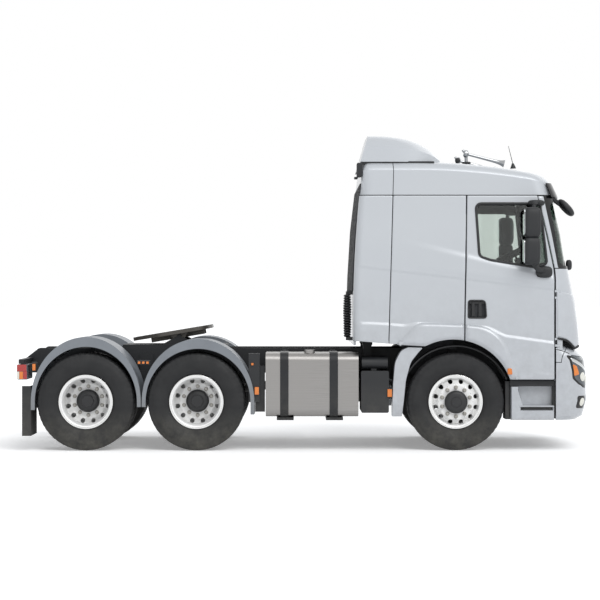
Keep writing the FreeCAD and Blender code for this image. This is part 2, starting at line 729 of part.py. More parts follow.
# Front axle: dropped beam between the kingpin bosses, and the leaf springs that carry the frame
axle_beam = front_form([
    (-kingpin_y, 520, 10), (-kingpin_y, 605, 10), (-kingpin_y + 110, 600, 40), (-520, 500, 120),
    (0, 490, 0), (520, 500, 120), (kingpin_y - 110, 600, 40), (kingpin_y, 605, 10), (kingpin_y, 520, 10),
    (kingpin_y - 150, 500, 60), (520, 400, 120), (0, 392, 0), (-520, 400, 120), (-kingpin_y + 150, 500, 60)],
    front_axle - 48, front_axle + 48)
boss_half = 84.0
axle_parts = [axle_beam]
for y in (-kingpin_y, kingpin_y):
    axle_parts.append(upright(front_axle, y, tyre_radius - boss_half, tyre_radius + boss_half, 52))
front_beam = joined(axle_parts)
for y in (-kingpin_y, kingpin_y):
    front_beam = front_beam.cut(upright(front_axle, y, 400, 700, kingpin_radius + running_fit))
spring_y = 400.0
spring_seat = [box(front_axle - 75, front_axle + 75, s * spring_y - 42, s * spring_y + 42, 470, 545)
               for s in (-1, 1)]
front_beam = joined([front_beam] + spring_seat)
save("front_axle", front_beam)


front_spring_parts = []
for s in (-1, 1):
    y0 = s * spring_y - 38
    y1 = s * spring_y + 38
    spring = [box(front_axle - 60, front_axle + 60, y0, y1, 545.3, 600)]
    ring_radius = 3400.0
    for i, half in enumerate((800, 640, 420)):
        z_low = 600 + 22 * (2 - i)
        arc_zone = box(front_axle - half, front_axle + half, y0, y1, 560, 900)
        centre_z = z_low + ring_radius
        leaf = across(front_axle, centre_z, y0, y1, ring_radius).cut(
            across(front_axle, centre_z, y0 - 1, y1 + 1, ring_radius - 22.5))
        spring.append(leaf.common(arc_zone))
    for x in (front_axle - 790, front_axle + 790):
        spring.append(box(x - 30, x + 30, y0, y1, 720, rail_bottom - seat_gap))
    front_spring_parts.append(joined(spring))

# Driven axles: tube, banjo casing and a spindle at each end
rear_tube_end = 548.0


def drive_axle(x):
    casing = turned([(0, -250), (120, -230), (215, -110), (230, 0), (215, 110), (120, 230), (0, 250)],
                    x, 0, tyre_radius, 1)
    tube = across(x, tyre_radius, -rear_tube_end, rear_tube_end, 72)
    spindle = across(x, tyre_radius, -rear_wheel_y + 190, rear_wheel_y - 190, spindle_radius)
    nose_piece = rod(V(x, 0, tyre_radius + 60), V(1, 0, 0.1), 105, 330)
    return joined([casing, tube, spindle, nose_piece])


save("drive_axles", [drive_axle(mid_axle), drive_axle(rear_axle)])

# Bogie: spring packs on a central trunnion, their ends resting on the two axles
bogie_x = (mid_axle + rear_axle) / 2
bogie_y0 = rail_outer_y + 18
bogie_parts = []
for s in (-1, 1):
    y0 = min(s * bogie_y0, s * (bogie_y0 + 90))
    y1 = max(s * bogie_y0, s * (bogie_y0 + 90))
    pack = []
    for i, half in enumerate((bogie_spacing / 2, bogie_spacing / 2 - 70, 470, 360, 250)):
        z0 = tyre_radius + 72 + seat_gap + 24 * i
        pack.append(box(bogie_x - half, bogie_x + half, y0, y1, z0, z0 + 24.2))
    saddle = side_form([
        (bogie_x - 120, tyre_radius + 185, 10), (bogie_x - 90, rail_bottom + 30, 20),
        (bogie_x + 90, rail_bottom + 30, 20), (bogie_x + 120, tyre_radius + 185, 10)], y0, y1)
    hanger = box(bogie_x - 80, bogie_x + 80, min(s * 425.3, s * 450), max(s * 425.3, s * 450), 560, 1100)
    bogie_parts.append(joined(pack + [saddle, hanger]))
save("leaf_springs", front_spring_parts + bogie_parts)

# Engine as one plain block, with gearbox and shafts behind it
engine = side_form([
    (front_axle - 60, 660, 60), (front_axle - 60, 1480, 60), (front_axle + 1080, 1480, 60),
    (front_axle + 1080, 760, 60), (front_axle + 500, 640, 60)], -320, 320)
engine_feet = [box(x - 50, x + 50, -web_y, web_y, rail_bottom + 60, rail_bottom + 160)
               for x in (front_axle + 110, front_axle + 910)]
engine = joined([engine] + engine_feet)
rad_half = rail_outer_y - rail_flange - 12
radiator = front_form([
    (-rad_half, 700, 20), (-rad_half, rail_top + seat_gap, 0),
    (-430, rail_top + seat_gap, 0), (-430, 1470, 30),
    (430, 1470, 30), (430, rail_top + seat_gap, 0), (rad_half, rail_top + seat_gap, 0), (rad_half, 700, 20)],
    nose - 465, nose - 375)
save("engine_block", [engine, radiator])
gearbox = side_form([
    (front_axle - 800, 800, 60), (front_axle - 800, 1040, 60), (front_axle - 300, 1120, 60),
    (front_axle - 60.3, 1160, 0), (front_axle - 60.3, 700, 0), (front_axle - 300, 740, 60)], -230, 230)
shaft_start = V(front_axle - 800.3, 0, 850)
shaft_end = V(mid_axle + 330, 0, tyre_radius + 93)
along = shaft_end - shaft_start
prop = Part.makeCylinder(52, along.Length - 60, shaft_start, along)
inter_start = V(mid_axle - 228, 0, tyre_radius + 30)
inter_end = V(rear_axle + 340, 0, tyre_radius + 93)
inter = inter_end - inter_start
inter_shaft = Part.makeCylinder(48, inter.Length, inter_start, inter)
save("driveline", [joined([gearbox, prop]), inter_shaft])

# Fuel tank, straps and brackets on the right; exhaust box on the left
tank_x0 = mid_axle + 795.0
tank_x1 = mid_axle + 1864.0
tank_low = 392.0
tank_high = 1126.0
tank_inner = 545.0
tank_outer = 1232.0


def tank_section(grow):
    corners = [
        (-tank_outer - grow, tank_low - grow, 95 + grow), (-tank_outer - grow, tank_high + grow, 95 + grow),
        (-tank_inner + grow, tank_high + grow, 60 + grow), (-tank_inner + grow, tank_low - grow, 60 + grow)]
    return corners


tank_body = front_form(tank_section(0), tank_x0, tank_x1)
tank_cap = upright(tank_x0 + 506, -1105, tank_high - 30, tank_high + 34, 62)
save("fuel_tank", joined([tank_body, tank_cap]))
strap_width = 96.0
strap_parts = []
for x in (tank_x0 + 167, tank_x0 + 736):
    band = front_form(tank_section(9), x, x + strap_width)
    band = band.cut(front_form(tank_section(seat_gap), x - 1, x + 200))
    foot = box(x - 40, x + strap_width + 60, -1180, -560, tank_low - 42, tank_low - 9)
    bracket = box(x + 18, x + strap_width - 18, -tank_inner + 9, -rail_outer_y - seat_gap,
                  tank_low - 42, rail_top - 20)
    strap_parts.append(joined([band, foot, bracket, box(x + 18, x + strap_width - 18, -600, -520,
                                                         tank_low - 42, tank_low - 10)]))
save("tank_straps", strap_parts)
tank_side_plate = box(tank_x0 - 116, tank_x0 - 8, -1190, -1170, 448, 977)
plate_arm = box(tank_x0 - 90, tank_x0 - 50, -1170, -rail_outer_y - seat_gap, 880, 940)

box_x0 = tank_x1 + 30.0
box_x1 = box_x0 + 320.0
battery = side_form([
    (box_x0, 437, 20), (box_x0, 920, 20), (box_x1, 920, 20), (box_x1, 437, 20)], -1225, -640)
battery_arm = box(box_x0 + 60, box_x1 - 60, -640, -rail_outer_y - seat_gap, 880, 918)
air_tanks = []
for y in (-1100.0, -900.0):
    tank = rod(V(box_x0 + 10, y, 1004), V(1, 0, 0), 72, 300)
    saddle_piece = box(box_x0 + 120, box_x0 + 180, y - 40, y + 40, 920.3, 945)
    air_tanks.append(tank.fuse(saddle_piece))
save("battery_box", [joined([battery, battery_arm])] + air_tanks)
exhaust_box = front_form([
    (560, 470, 50), (560, 1060, 60), (1215, 1060, 60), (1215, 470, 60)], tank_x1 - 330, tank_x1 + 340)
exhaust_arm = box(tank_x1 - 60, tank_x1 + 60, rail_outer_y + seat_gap, 570, 900, 1000)
tail_pipe = rod(V(tank_x1 - 329, 900, 620), V(-1, 0, 0), 62, 180)
side_tank = front_form([
    (560, 470, 60), (560, 1060, 60), (1215, 1060, 90), (1215, 470, 90)], tank_x0, tank_x1 - 560)
side_tank_arm = box(tank_x0 + 150, tank_x0 + 250, rail_outer_y + seat_gap, 570, 900, 1000)
save("exhaust_box", [joined([exhaust_box, exhaust_arm, tail_pipe]), joined([side_tank, side_tank_arm])])


# Rear mudguards: half-round shells with a deep outer lip
def guard_outline(x, half_back, half_front, height, leg_back, leg_front, inset):
    """A semi-ellipse over a wheel with straight legs down."""
    centre = V(x + (half_front - half_back) / 2, 0, tyre_radius)
    half = (half_front + half_back) / 2 - inset[0]
    tall = height - inset[1]
    if tall > half:
        curve = Part.Ellipse(centre + V(0, 0, tall), centre + V(half, 0, 0), centre)
    else:
        curve = Part.Ellipse(centre + V(half, 0, 0), centre + V(0, 0, tall), centre)
    full = Part.Face(Part.Wire(curve.toShape()))
    body = full.extrude(V(0, 1000, 0))
    upper = body.common(box(centre.x - 2000, centre.x + 2000, -10, 2000, tyre_radius, 3000))
    legs = box(centre.x - half, centre.x + half, 0, 1000, min(leg_back, leg_front) - 1, tyre_radius)
    return upper.fuse(legs), centre


guard_inner_y = 556.0


def mudguard(x, half_back, half_front, height, leg_back, leg_front):
    outer, centre = guard_outline(x, half_back, half_front, height, leg_back, leg_front, (0, 0))
    thin, centre = guard_outline(x, half_back, half_front, height, leg_back, leg_front, (16, 16))
    lip, centre = guard_outline(x, half_back, half_front, height, leg_back, leg_front, (44, 112))
    for form in (outer, thin, lip):
        form.translate(V(0, guard_inner_y, 0))
    sheet = outer.cut(thin).common(box(-9000, 9000, guard_inner_y, body_side - 5, 0, 3000))
    rim = outer.cut(lip).common(box(-9000, 9000, body_side - 32, body_side - 5, 0, 3000))
    inner_rim = outer.cut(lip).common(box(-9000, 9000, guard_inner_y, guard_inner_y + 14, 0, 3000))
    whole = joined([sheet, rim, inner_rim])
    trims = [box(centre.x - 3000, centre.x, 0, 3000, 0, leg_back),
             box(centre.x, centre.x + 3000, 0, 3000, 0, leg_front)]
    return whole.cut(trims)


guards = []
for side in (1, -1):
    for guard in (mudguard(rear_axle, 630, 634, 748, 471, 505), mudguard(mid_axle, 630, 665, 725, 505, 419)):
        guards.append(guard if side > 0 else mirrored(guard))
guard_posts = []
for x, height in ((mid_axle, 725), (rear_axle, 748)):
    arm_low = tyre_radius + height - 85
    post = box(x - 30, x + 30, rail_outer_y + seat_gap, rail_outer_y + 28, rail_bottom + 90, arm_low + 40)
    reach_arm = box(x - 30, x + 30, rail_outer_y + seat_gap, guard_inner_y - seat_gap, arm_low, arm_low + 40)
    guard_posts.append(joined([post, reach_arm]))
save("rear_mudguards", guards)

# Front mudguards, fixed to the frame inside the cab's arch
guard_inner = 636.0
front_ring = across(front_axle, tyre_radius, 850, 1168, guard_inner + 14).cut(
    across(front_axle, tyre_radius, 800, 1200, guard_inner))
wedge = side_form([
    (front_axle, tyre_radius, 0), (front_axle + 1000, tyre_radius + 470, 0), (front_axle + 600, 2500, 0),
    (front_axle - 1500, 2500, 0), (front_axle - 1500, tyre_radius, 0)], 700, 1300)
front_ring = front_ring.common(wedge)
front_leg = side_form([
    (front_axle - 744, 398, 12), (front_axle - 733, 800, 200), (front_axle - 680, 1010, 200),
    (front_axle - 622, 1186, 30), (front_axle - 560, 1190, 20), (front_axle - 400, 1096, 60),
    (front_axle - guard_inner + 5, 800, 260), (front_axle - guard_inner + 12, 398, 12)], 850, body_side - 8)
front_leg = front_leg.cut(across(front_axle, tyre_radius, 800, body_side + 20, guard_inner))
front_leg_hollow = side_form([
    (front_axle - 733, 300, 0), (front_axle - 720, 800, 180), (front_axle - 668, 1000, 180),
    (front_axle - 610, 1176, 20), (front_axle - 560, 1180, 20), (front_axle - 420, 1110, 40),
    (front_axle - 640, 800, 200), (front_axle - 640, 300, 0)], 800, body_side - 30)
hollow_keep = across(front_axle, tyre_radius, 700, body_side + 50, guard_inner + 14)
front_leg = front_leg.cut(front_leg_hollow.cut(hollow_keep))
front_guard = joined([front_ring, front_leg])
guard_crown = tyre_radius + guard_inner - 1
front_guard_post = joined([
    box(front_axle - 30, front_axle + 30, rail_outer_y + seat_gap, 880,
        guard_crown - 36, guard_crown - seat_gap),
    box(front_axle - 30, front_axle + 30, rail_outer_y + seat_gap, rail_outer_y + 28, rail_bottom + 90,
        guard_crown - seat_gap)])
save("front_mudguards", both(front_guard))

# Brackets on the frame: mudguard posts, lamp bar, cab mounts, hinge pins for the cab
rear_lamp_x = tail + 70.0
lamp_bar = box(rear_lamp_x - 45, rear_lamp_x + 15, rail_outer_y + seat_gap, body_side - 40, 1000, 1052)
cab_post = box(cab_back + 130, cab_back + 230, rail_outer_y + seat_gap, rail_outer_y + 110, 935, 1200)
cab_pad = box(cab_back + 120, cab_back + 240, rail_outer_y - 60, rail_outer_y + 110,
              1200, cab_floor_z - seat_gap)
cab_pad = cab_pad.cut(box(cab_back, cab_back + 300, 0, rail_outer_y + seat_gap, 0, rail_top + seat_gap))
pivot_block = side_form([
    (tilt_x - 190, 880, 20), (tilt_x - 190, 1120, 30), (tilt_x - 60, 1120, 40),
    (tilt_x + 52, tilt_z + 20, 40),
    (tilt_x + 30, 940, 30), (tilt_x - 90, 880, 20)], rail_outer_y + seat_gap, tilt_arm_y - 6)
pivot_pin = across(tilt_x, tilt_z, rail_outer_y + seat_gap, tilt_arm_y + tilt_arm_width + 8, tilt_pin_radius)
brackets = []
for piece in [joined([lamp_bar]), joined([cab_post, cab_pad]), joined([pivot_block, pivot_pin]),
              front_guard_post] + guard_posts:
    brackets.extend(both(piece))
ram_shelf = ram_low.z - 62
ram_bracket = joined([
    box(ram_low.x - 34, ram_low.x + 34, -rail_outer_y - 30, -rail_outer_y - seat_gap, rail_bottom + 20, 1000),
    box(ram_low.x - 34, ram_low.x + 34, ram_y - 22 - ram_lug, ram_y - 22, ram_shelf, ram_low.z + 28),
    box(ram_low.x - 34, ram_low.x + 34, ram_y + 22, ram_y + 22 + ram_lug, ram_shelf, ram_low.z + 28),
    box(ram_low.x - 34, ram_low.x + 34, ram_y - 22 - ram_lug, -rail_outer_y - 20, ram_shelf - 14, ram_shelf),
    box(ram_low.x - 34, ram_low.x + 34, -rail_outer_y - 50, -rail_outer_y - 20, ram_shelf - 14, 1000),
    across(ram_low.x, ram_low.z, ram_y - 46, ram_y + 46, ram_pin_radius)])
brackets.append(ram_bracket)
brackets.append(tank_side_plate.fuse(plate_arm))
save("brackets", brackets)

ram_run = ram_high - ram_low
ram_way = V(ram_run.x, ram_run.y, ram_run.z).normalize()
barrel_length = 600.0
barrel_start = 72.0
barrel = joined([
    Part.makeCylinder(36, barrel_length - barrel_start, ram_low + ram_way * barrel_start, ram_way),
    Part.makeCylinder(19, barrel_start, ram_low + ram_way * 20, ram_way),
    across(ram_low.x, ram_low.z, ram_y - 21.5, ram_y + 21.5, 34)])
barrel = barrel.cut([Part.makeCylinder(20 + running_fit, barrel_length, ram_low + ram_way * 90, ram_way),
                     across(ram_low.x, ram_low.z, ram_y - 60, ram_y + 60, ram_pin_radius + running_fit)])
ram_rod = joined([
    Part.makeCylinder(20, ram_run.Length - 115, ram_low + ram_way * 95, ram_way),
    across(ram_high.x, ram_high.z, ram_y - 21.5, ram_y + 21.5, 34),
    across(ram_high.x, ram_high.z, ram_y - 46, ram_y + 46, ram_pin_radius)])
save("tilt_barrel", barrel)
save("tilt_rod", ram_rod)

# Mud flaps and lamps at the tail
flap_x = rear_axle - 640.0
flap = joined([
    box(flap_x, flap_x + 10, 730, body_side - 12, 172, 747),
    box(flap_x - 92, flap_x + 10, body_side - 22, body_side - 12, 172, 747)])
flap_arm = box(flap_x - 20, flap_x - seat_gap, rail_outer_y + seat_gap, body_side - 60, 690, 730)
flap_hanger = box(flap_x - 20, flap_x - seat_gap, rail_outer_y + seat_gap, rail_outer_y + 60, 690, 960)
save("mud_flaps", both(joined([flap, flap_arm, flap_hanger])))
lamp = side_form([
    (tail + 12, 820, 12), (tail + 12, 994, 12), (tail + 128, 994, 12), (tail + 128, 820, 12)],
    800, body_side - 20)
lamp_lug = box(rear_lamp_x - 40, rear_lamp_x + 10, 900, 1100, 990, 1000 - seat_gap)
rear_lamps = both(joined([lamp, lamp_lug]))

# Bumper with lamps let into its corners
def bumper_form(inset):
    wires = []
    for z, setback, half in bumper_levels:
        wires.append(plan_wire(z, nose - setback, bumper_back - 300, half, bumper_bow, 260.0, 40.0, inset))
    return Part.makeLoft(wires, True, True)


corner_zone = box(bumper_back, tilt_x, -far, far, tilt_z + 5, 1300)
bumper_shell = bumper_form(0.0).cut(bumper_form(45.0))
bumper_zone = box(bumper_back, nose + 10, -far, far, 300, 1300)
corner_cut = corner_zone.cut(across(tilt_x, tilt_z, -far, far, corner_sweep))
top_cut = box(0, nose, -1000, 1000, 1160, 1300)
bumper = bumper_shell.common(bumper_zone).cut([corner_cut, top_cut])
fairing_zone = corner_zone.cut(across(tilt_x, tilt_z, -far, far, corner_sweep + 8))
fairing_zone = fairing_zone.common(box(0, nose, 1000, far, tilt_z + 13, 1300))
fairing = bumper_shell.common(fairing_zone)
fairing_tab = box(bumper_back + 15, bumper_back + 75, body_side - 50, body_side - 12,
                  1150, panel_bottom + 125)
fairing = fairing.fuse(fairing_tab)
front_panel = joined([front_panel, fairing, mirrored(fairing)])
save("front_panel", front_panel)
lamp_points = [
    (nose - 292, 1108, 20), (nose - 60, 1068, 20), (nose + 20, 930, 0), (nose + 20, 724, 0),
    (nose - 130, 724, 25), (nose - 262, 832, 40)]


def lamp_tool(inset):
    face = Part.Face(outline([(V(x, 780.0 + inset, z), r) for x, z, r in lamp_points]))
    if inset:
        face = face.makeOffset2D(-inset)
    return face.extrude(V(0, 600, 0))


fog_tool = front_form([(905, 480, 20), (905, 640, 20), (1090, 640, 20), (1090, 480, 20)],
                      nose - 300, nose + 50)
fog_lamp_tool = front_form([
    (905 + seat_gap, 480 + seat_gap, 20), (905 + seat_gap, 640 - seat_gap, 20),
    (1090 - seat_gap, 640 - seat_gap, 20), (1090 - seat_gap, 480 + seat_gap, 20)], nose - 300, nose + 50)
lower_grille = front_form([
    (-640, 470, 30), (-700, 700, 40), (700, 700, 40), (640, 470, 30)], nose - 200, nose + 50)
bumper = bumper.cut([lamp_tool(0), mirrored(lamp_tool(0)), fog_tool, mirrored(fog_tool), lower_grille])
bumper_beam = box(rail_front - 80, rail_front + 40, -760, 760, rail_bottom - 90, rail_bottom - seat_gap)
bumper_ties = [box(rail_front + 30, nose - 40, y - 25, y + 25, rail_bottom - 70, rail_bottom - 20)
               for y in (-600, -200, 200, 600)]
bar_skin = bumper_form(20.0).cut(bumper_form(44.0)).common(box(nose - 200, nose, -720, 720, 500, 690))
lower_bars = [bar_skin.common(box(nose - 200, nose, -720, 720, z, z + 16)) for z in (510, 560, 610, 660)]
bumper = joined([bumper, bumper_beam] + bumper_ties + lower_bars)
save("bumper", bumper)
lamp_skin = bumper_form(6.0).cut(bumper_form(60.0)).common(bumper_zone)
head_lamp = lamp_skin.common(lamp_tool(seat_gap))
fog_lamp = lamp_skin.common(fog_lamp_tool)
save("lamps", both(head_lamp) + both(fog_lamp) + rear_lamps)

# Entry steps below the doors
step_x0 = front_axle + 632.0
step_x1 = nose - 478.0
step_block = box(step_x0, step_x1, 900, body_side - 8, 356, 738)
step_recess = box(step_x0 + 92, step_x1 + 10, 985, far, 517, 760)
entry_step = step_block.cut([step_recess, box(step_x0 + 110, step_x1 - 20, 1000, body_side - 30, 380, 466)])
step_arm = box(step_x0 + 200, step_x0 + 280, rail_outer_y + seat_gap, 905, 560, 640)
step_post = box(step_x0 + 200, step_x0 + 280, rail_outer_y + seat_gap, rail_outer_y + 60, 560, 1000)
step_left = joined([entry_step, step_arm, step_post])
save("entry_steps", both(step_left))

# Knuckles: yoke round the beam's boss, kingpin, spindle and steering arm
tie_arm_low = tyre_radius - steer_arm_drop


def knuckle():
    k = kingpin_y
    pin = upright(front_axle, k, tyre_radius - boss_half - 42, tyre_radius + boss_half + 42, kingpin_radius)
    top = box(front_axle - 50, front_axle + 50, k - 50, k + 96, tyre_radius + boss_half + seat_gap,
              tyre_radius + boss_half + 42)
    low = box(front_axle - 50, front_axle + 50, k - 50, k + 96, tyre_radius - boss_half - 42,
              tyre_radius - boss_half - seat_gap)
    back = box(front_axle - 60, front_axle + 60, k + 60, k + 96, tyre_radius - boss_half - 42,
               tyre_radius + boss_half + 42)
    spindle = across(front_axle, tyre_radius, k + 90, front_wheel_y + 118, spindle_radius)
    steer = plan_form([
        (front_axle + 40, k + 60, 10), (front_axle + 40, k - 20, 10),
        (front_axle - steer_arm - 30, k - steer_arm_inset - 30, 25),
        (front_axle - steer_arm - 30, k - steer_arm_inset + 30, 25), (front_axle - 40, k + 60, 10)],
        tie_arm_low - 24, tie_arm_low)
    return joined([pin, top, low, back, spindle, steer])


tie_end = V(front_axle - steer_arm, kingpin_y - steer_arm_inset, tie_arm_low)
tie_pin_radius = 12.0
tie_z = tie_end.z - 52.0
save("knuckle_left", joined([
    knuckle(), upright(tie_end.x, tie_end.y, tie_end.z - 75, tie_end.z - 10, tie_pin_radius)]))
save("knuckle_right", mirrored(knuckle()))

# Tie rod: a bar with an eye on the left knuckle's pin, and on the right a ball stud of its own,
# which stops just under the right arm because the steering linkage is opened there
tie_parts = [across(tie_end.x, tie_z, -tie_end.y, tie_end.y, 20),
             upright(tie_end.x, -tie_end.y, tie_z, tie_end.z - 24 - open_stud_gap, tie_pin_radius)]
for s in (-1, 1):
    tie_parts.append(upright(tie_end.x, s * tie_end.y, tie_z - 22, tie_z + 22, 34))
tie_rod = joined(tie_parts)
tie_rod = tie_rod.cut(upright(tie_end.x, tie_end.y, tie_z - 60, tie_z + 60, tie_pin_radius + running_fit))
save("tie_rod", tie_rod)


# Wheels
def tyre(x, y):
    half = tyre_width / 2
    r = tyre_radius

    def at(radius, d):
        return V(x + radius, y + d, tyre_radius)

    seat = rim_seat + seat_gap
    edges = []
    bead = rim_width / 2 - 14
    edges.append(Part.LineSegment(at(seat, -bead), at(seat, bead)).toShape())
    edges.append(Part.LineSegment(at(seat, bead), at(rim_flange + 8, bead + 9)).toShape())
    edges.append(Part.Arc(at(rim_flange + 8, bead + 9), at(435, half), at(r - 38, half - 16)).toShape())
    edges.append(Part.Arc(at(r - 38, half - 16), at(r - 12, half - 24), at(r - 3, half - 48)).toShape())
    edges.append(Part.LineSegment(at(r - 3, half - 48), at(r, 0)).toShape())
    edges.append(Part.LineSegment(at(r, 0), at(r - 3, -half + 48)).toShape())
    edges.append(Part.Arc(at(r - 3, -half + 48), at(r - 12, -half + 24), at(r - 38, -half + 16)).toShape())
    edges.append(Part.Arc(at(r - 38, -half + 16), at(435, -half), at(rim_flange + 8, -bead - 9)).toShape())
    edges.append(Part.LineSegment(at(rim_flange + 8, -bead - 9), at(seat, -bead)).toShape())
    return Part.Face(Part.Wire(edges)).revolve(V(x, y, tyre_radius), V(0, 1, 0), 360)


def rim_barrel(x, y):
    w = rim_width / 2
    s = rim_seat
    profile = [
        (s, -w + 14), (rim_flange, -w + 6), (rim_flange, -w), (s - 9, -w),
        (s - 30, -w + 45), (s - 30, w - 45),
        (s - 9, w), (rim_flange, w), (rim_flange, w - 6), (s, w - 14), (s - 20, w - 48), (s - 20, -w + 48)]
    return turned(profile, x, y, tyre_radius, 1)


def disc(x, y, side, rim_r, rim_d, face_d):
    """A dished wheel disc: side is the outward sign, rim_d and face_d its distances outward."""
    wall = disc_wall if face_d > rim_d else -disc_wall
    profile = [
        (rim_r, rim_d), (rim_r, rim_d + wall), (disc_flat, face_d), (60, face_d), (60, face_d - wall),
        (disc_flat, face_d - wall)]
    return turned(profile, x, y, tyre_radius, side)


def hand_hole_tools(x, y):
    tools = []
    for i in range(hand_holes):
        turn = 2 * math.pi * (i + 0.5) / hand_holes
        cx = x + hand_hole_circle * math.cos(turn)
        cz = tyre_radius + hand_hole_circle * math.sin(turn)
        tools.append(across(cx, cz, y - 250, y + 250, hand_hole_radius))
    return tools


def front_rim(side):
    x = front_axle
    y = side * front_wheel_y
    plate = disc(x, y, side, rim_seat - 25, 40.0, 150.0).cut(hand_hole_tools(x, y))
    hub = turned([
        (spindle_radius + running_fit, 0), (hub_radius - 12, 0), (hub_radius - 12, 150), (hub_radius, 150),
        (hub_radius, 190), (hub_radius - 25, 212), (0, 212), (0, 130), (spindle_radius + running_fit, 130)],
        x, y, tyre_radius, side)
    return joined([rim_barrel(x, y), plate, hub])


def twin_rims(x, side):
    y_out = side * rear_wheel_y
    y_in = side * (rear_wheel_y - twin_spacing)
    face = -twin_spacing / 2 + 1
    outer_disc = disc(x, y_out, side, rim_seat - 12, -100.0, face).cut(hand_hole_tools(x, y_out))
    inner_disc = disc(x, y_in, side, rim_seat - 12, 100.0, twin_spacing / 2).cut(hand_hole_tools(x, y_in))
    hub_in = -rear_wheel_y + rear_tube_end + 12
    hub = turned([
        (spindle_radius + running_fit, hub_in), (drum_radius, hub_in), (drum_radius, face - 40),
        (hub_radius, face - 30), (hub_radius, face + 84), (hub_radius - 22, face + 102), (0, face + 102),
        (0, -180), (spindle_radius + running_fit, -180)], x, y_out, tyre_radius, side)
    return joined([rim_barrel(x, y_out), rim_barrel(x, y_in), outer_disc, inner_disc, hub])


for name, side in (("left", 1), ("right", -1)):
    save("tyre_front_" + name, tyre(front_axle, side * front_wheel_y))
    save("rim_front_" + name, front_rim(side))
    for axle_name, x in (("mid", mid_axle), ("rear", rear_axle)):
        save("tyres_%s_%s" % (axle_name, name),
             [tyre(x, side * rear_wheel_y), tyre(x, side * (rear_wheel_y - twin_spacing))])
        save("rims_%s_%s" % (axle_name, name), twin_rims(x, side))

# Fifth wheel: sub-plate and pedestals on the frame, and the rocking plate with its throat
base_x0 = coupling_x - 670.0
base_x1 = coupling_x + 560.0
sub_plate = box(base_x0, base_x1, -rail_outer_y, rail_outer_y, rail_top + seat_gap, rail_top + 40)
pedestal_y = 330.0
pedestals = []
for s in (-1, 1):
    for y0 in (s * pedestal_y - 70, s * pedestal_y + 40):
        lug = side_form([
            (coupling_x - 210, rail_top + 38, 10), (coupling_x - 45, coupling_pivot_z - 5, 30),
            (coupling_x + 45, coupling_pivot_z - 5, 30), (coupling_x + 210, rail_top + 38, 10)], y0, y0 + 30)
        pedestals.append(lug.fuse(across(coupling_x, coupling_pivot_z, y0, y0 + 30, 29)))
coupling_pin_radius = 20.0
coupling_pins = [across(coupling_x, coupling_pivot_z, s * pedestal_y - 70, s * pedestal_y + 70,
                        coupling_pin_radius) for s in (-1, 1)]
save("fifth_wheel_base", joined([sub_plate] + pedestals + coupling_pins))

plate_top = coupling_pivot_z + 78.0
half_w = plate_width / 2
plate_outline = plan_form([
    (coupling_x - 560, 230, 60), (coupling_x - 250, half_w, 160), (coupling_x + 330, half_w, 200),
    (coupling_x + plate_length - 560, 190, 120), (coupling_x + plate_length - 560, -190, 120),
    (coupling_x + 330, -half_w, 200), (coupling_x - 250, -half_w, 160), (coupling_x - 560, -230, 60)],
    plate_top - plate_thickness, plate_top)
throat = plan_form([
    (coupling_x - 620, 220, 0), (coupling_x - 120, kingpin_bore + 4, 30),
    (coupling_x - 60, kingpin_bore + 4, 0),
    (coupling_x - 60, -kingpin_bore - 4, 0), (coupling_x - 120, -kingpin_bore - 4, 30),
    (coupling_x - 620, -220, 0)], plate_top - 200, plate_top + 10)
ears = []
for s in (-1, 1):
    ear = side_form([
        (coupling_x - 110, plate_top - plate_thickness + 5, 10),
        (coupling_x + 110, plate_top - plate_thickness + 5, 10),
        (coupling_x + 60, coupling_pivot_z - 30, 30), (coupling_x - 60, coupling_pivot_z - 30, 30)],
        s * pedestal_y - 38, s * pedestal_y + 38)
    ears.append(ear)
skirt_ribs = [box(coupling_x - 350, coupling_x + 300, s * 180 - 12, s * 180 + 12,
                  plate_top - plate_thickness - 55, plate_top - plate_thickness + 5) for s in (-1, 1)]
jaw = box(coupling_x - 110, coupling_x + 90, -110, 110, plate_top - plate_thickness - 50,
          plate_top - plate_thickness + 5)
plate = joined([plate_outline.cut(throat)] + ears + skirt_ribs + [jaw])
pin_bores = [across(coupling_x, coupling_pivot_z, s * pedestal_y - 50, s * pedestal_y + 50,
                    coupling_pin_radius + running_fit) for s in (-1, 1)]
plate = plate.cut([upright(coupling_x, 0, plate_top - 200, plate_top + 10, kingpin_bore)] + pin_bores)
plate.rotate(V(coupling_x, 0, coupling_pivot_z), V(0, 1, 0), coupling_rest_deg)
save("fifth_wheel_plate", plate)
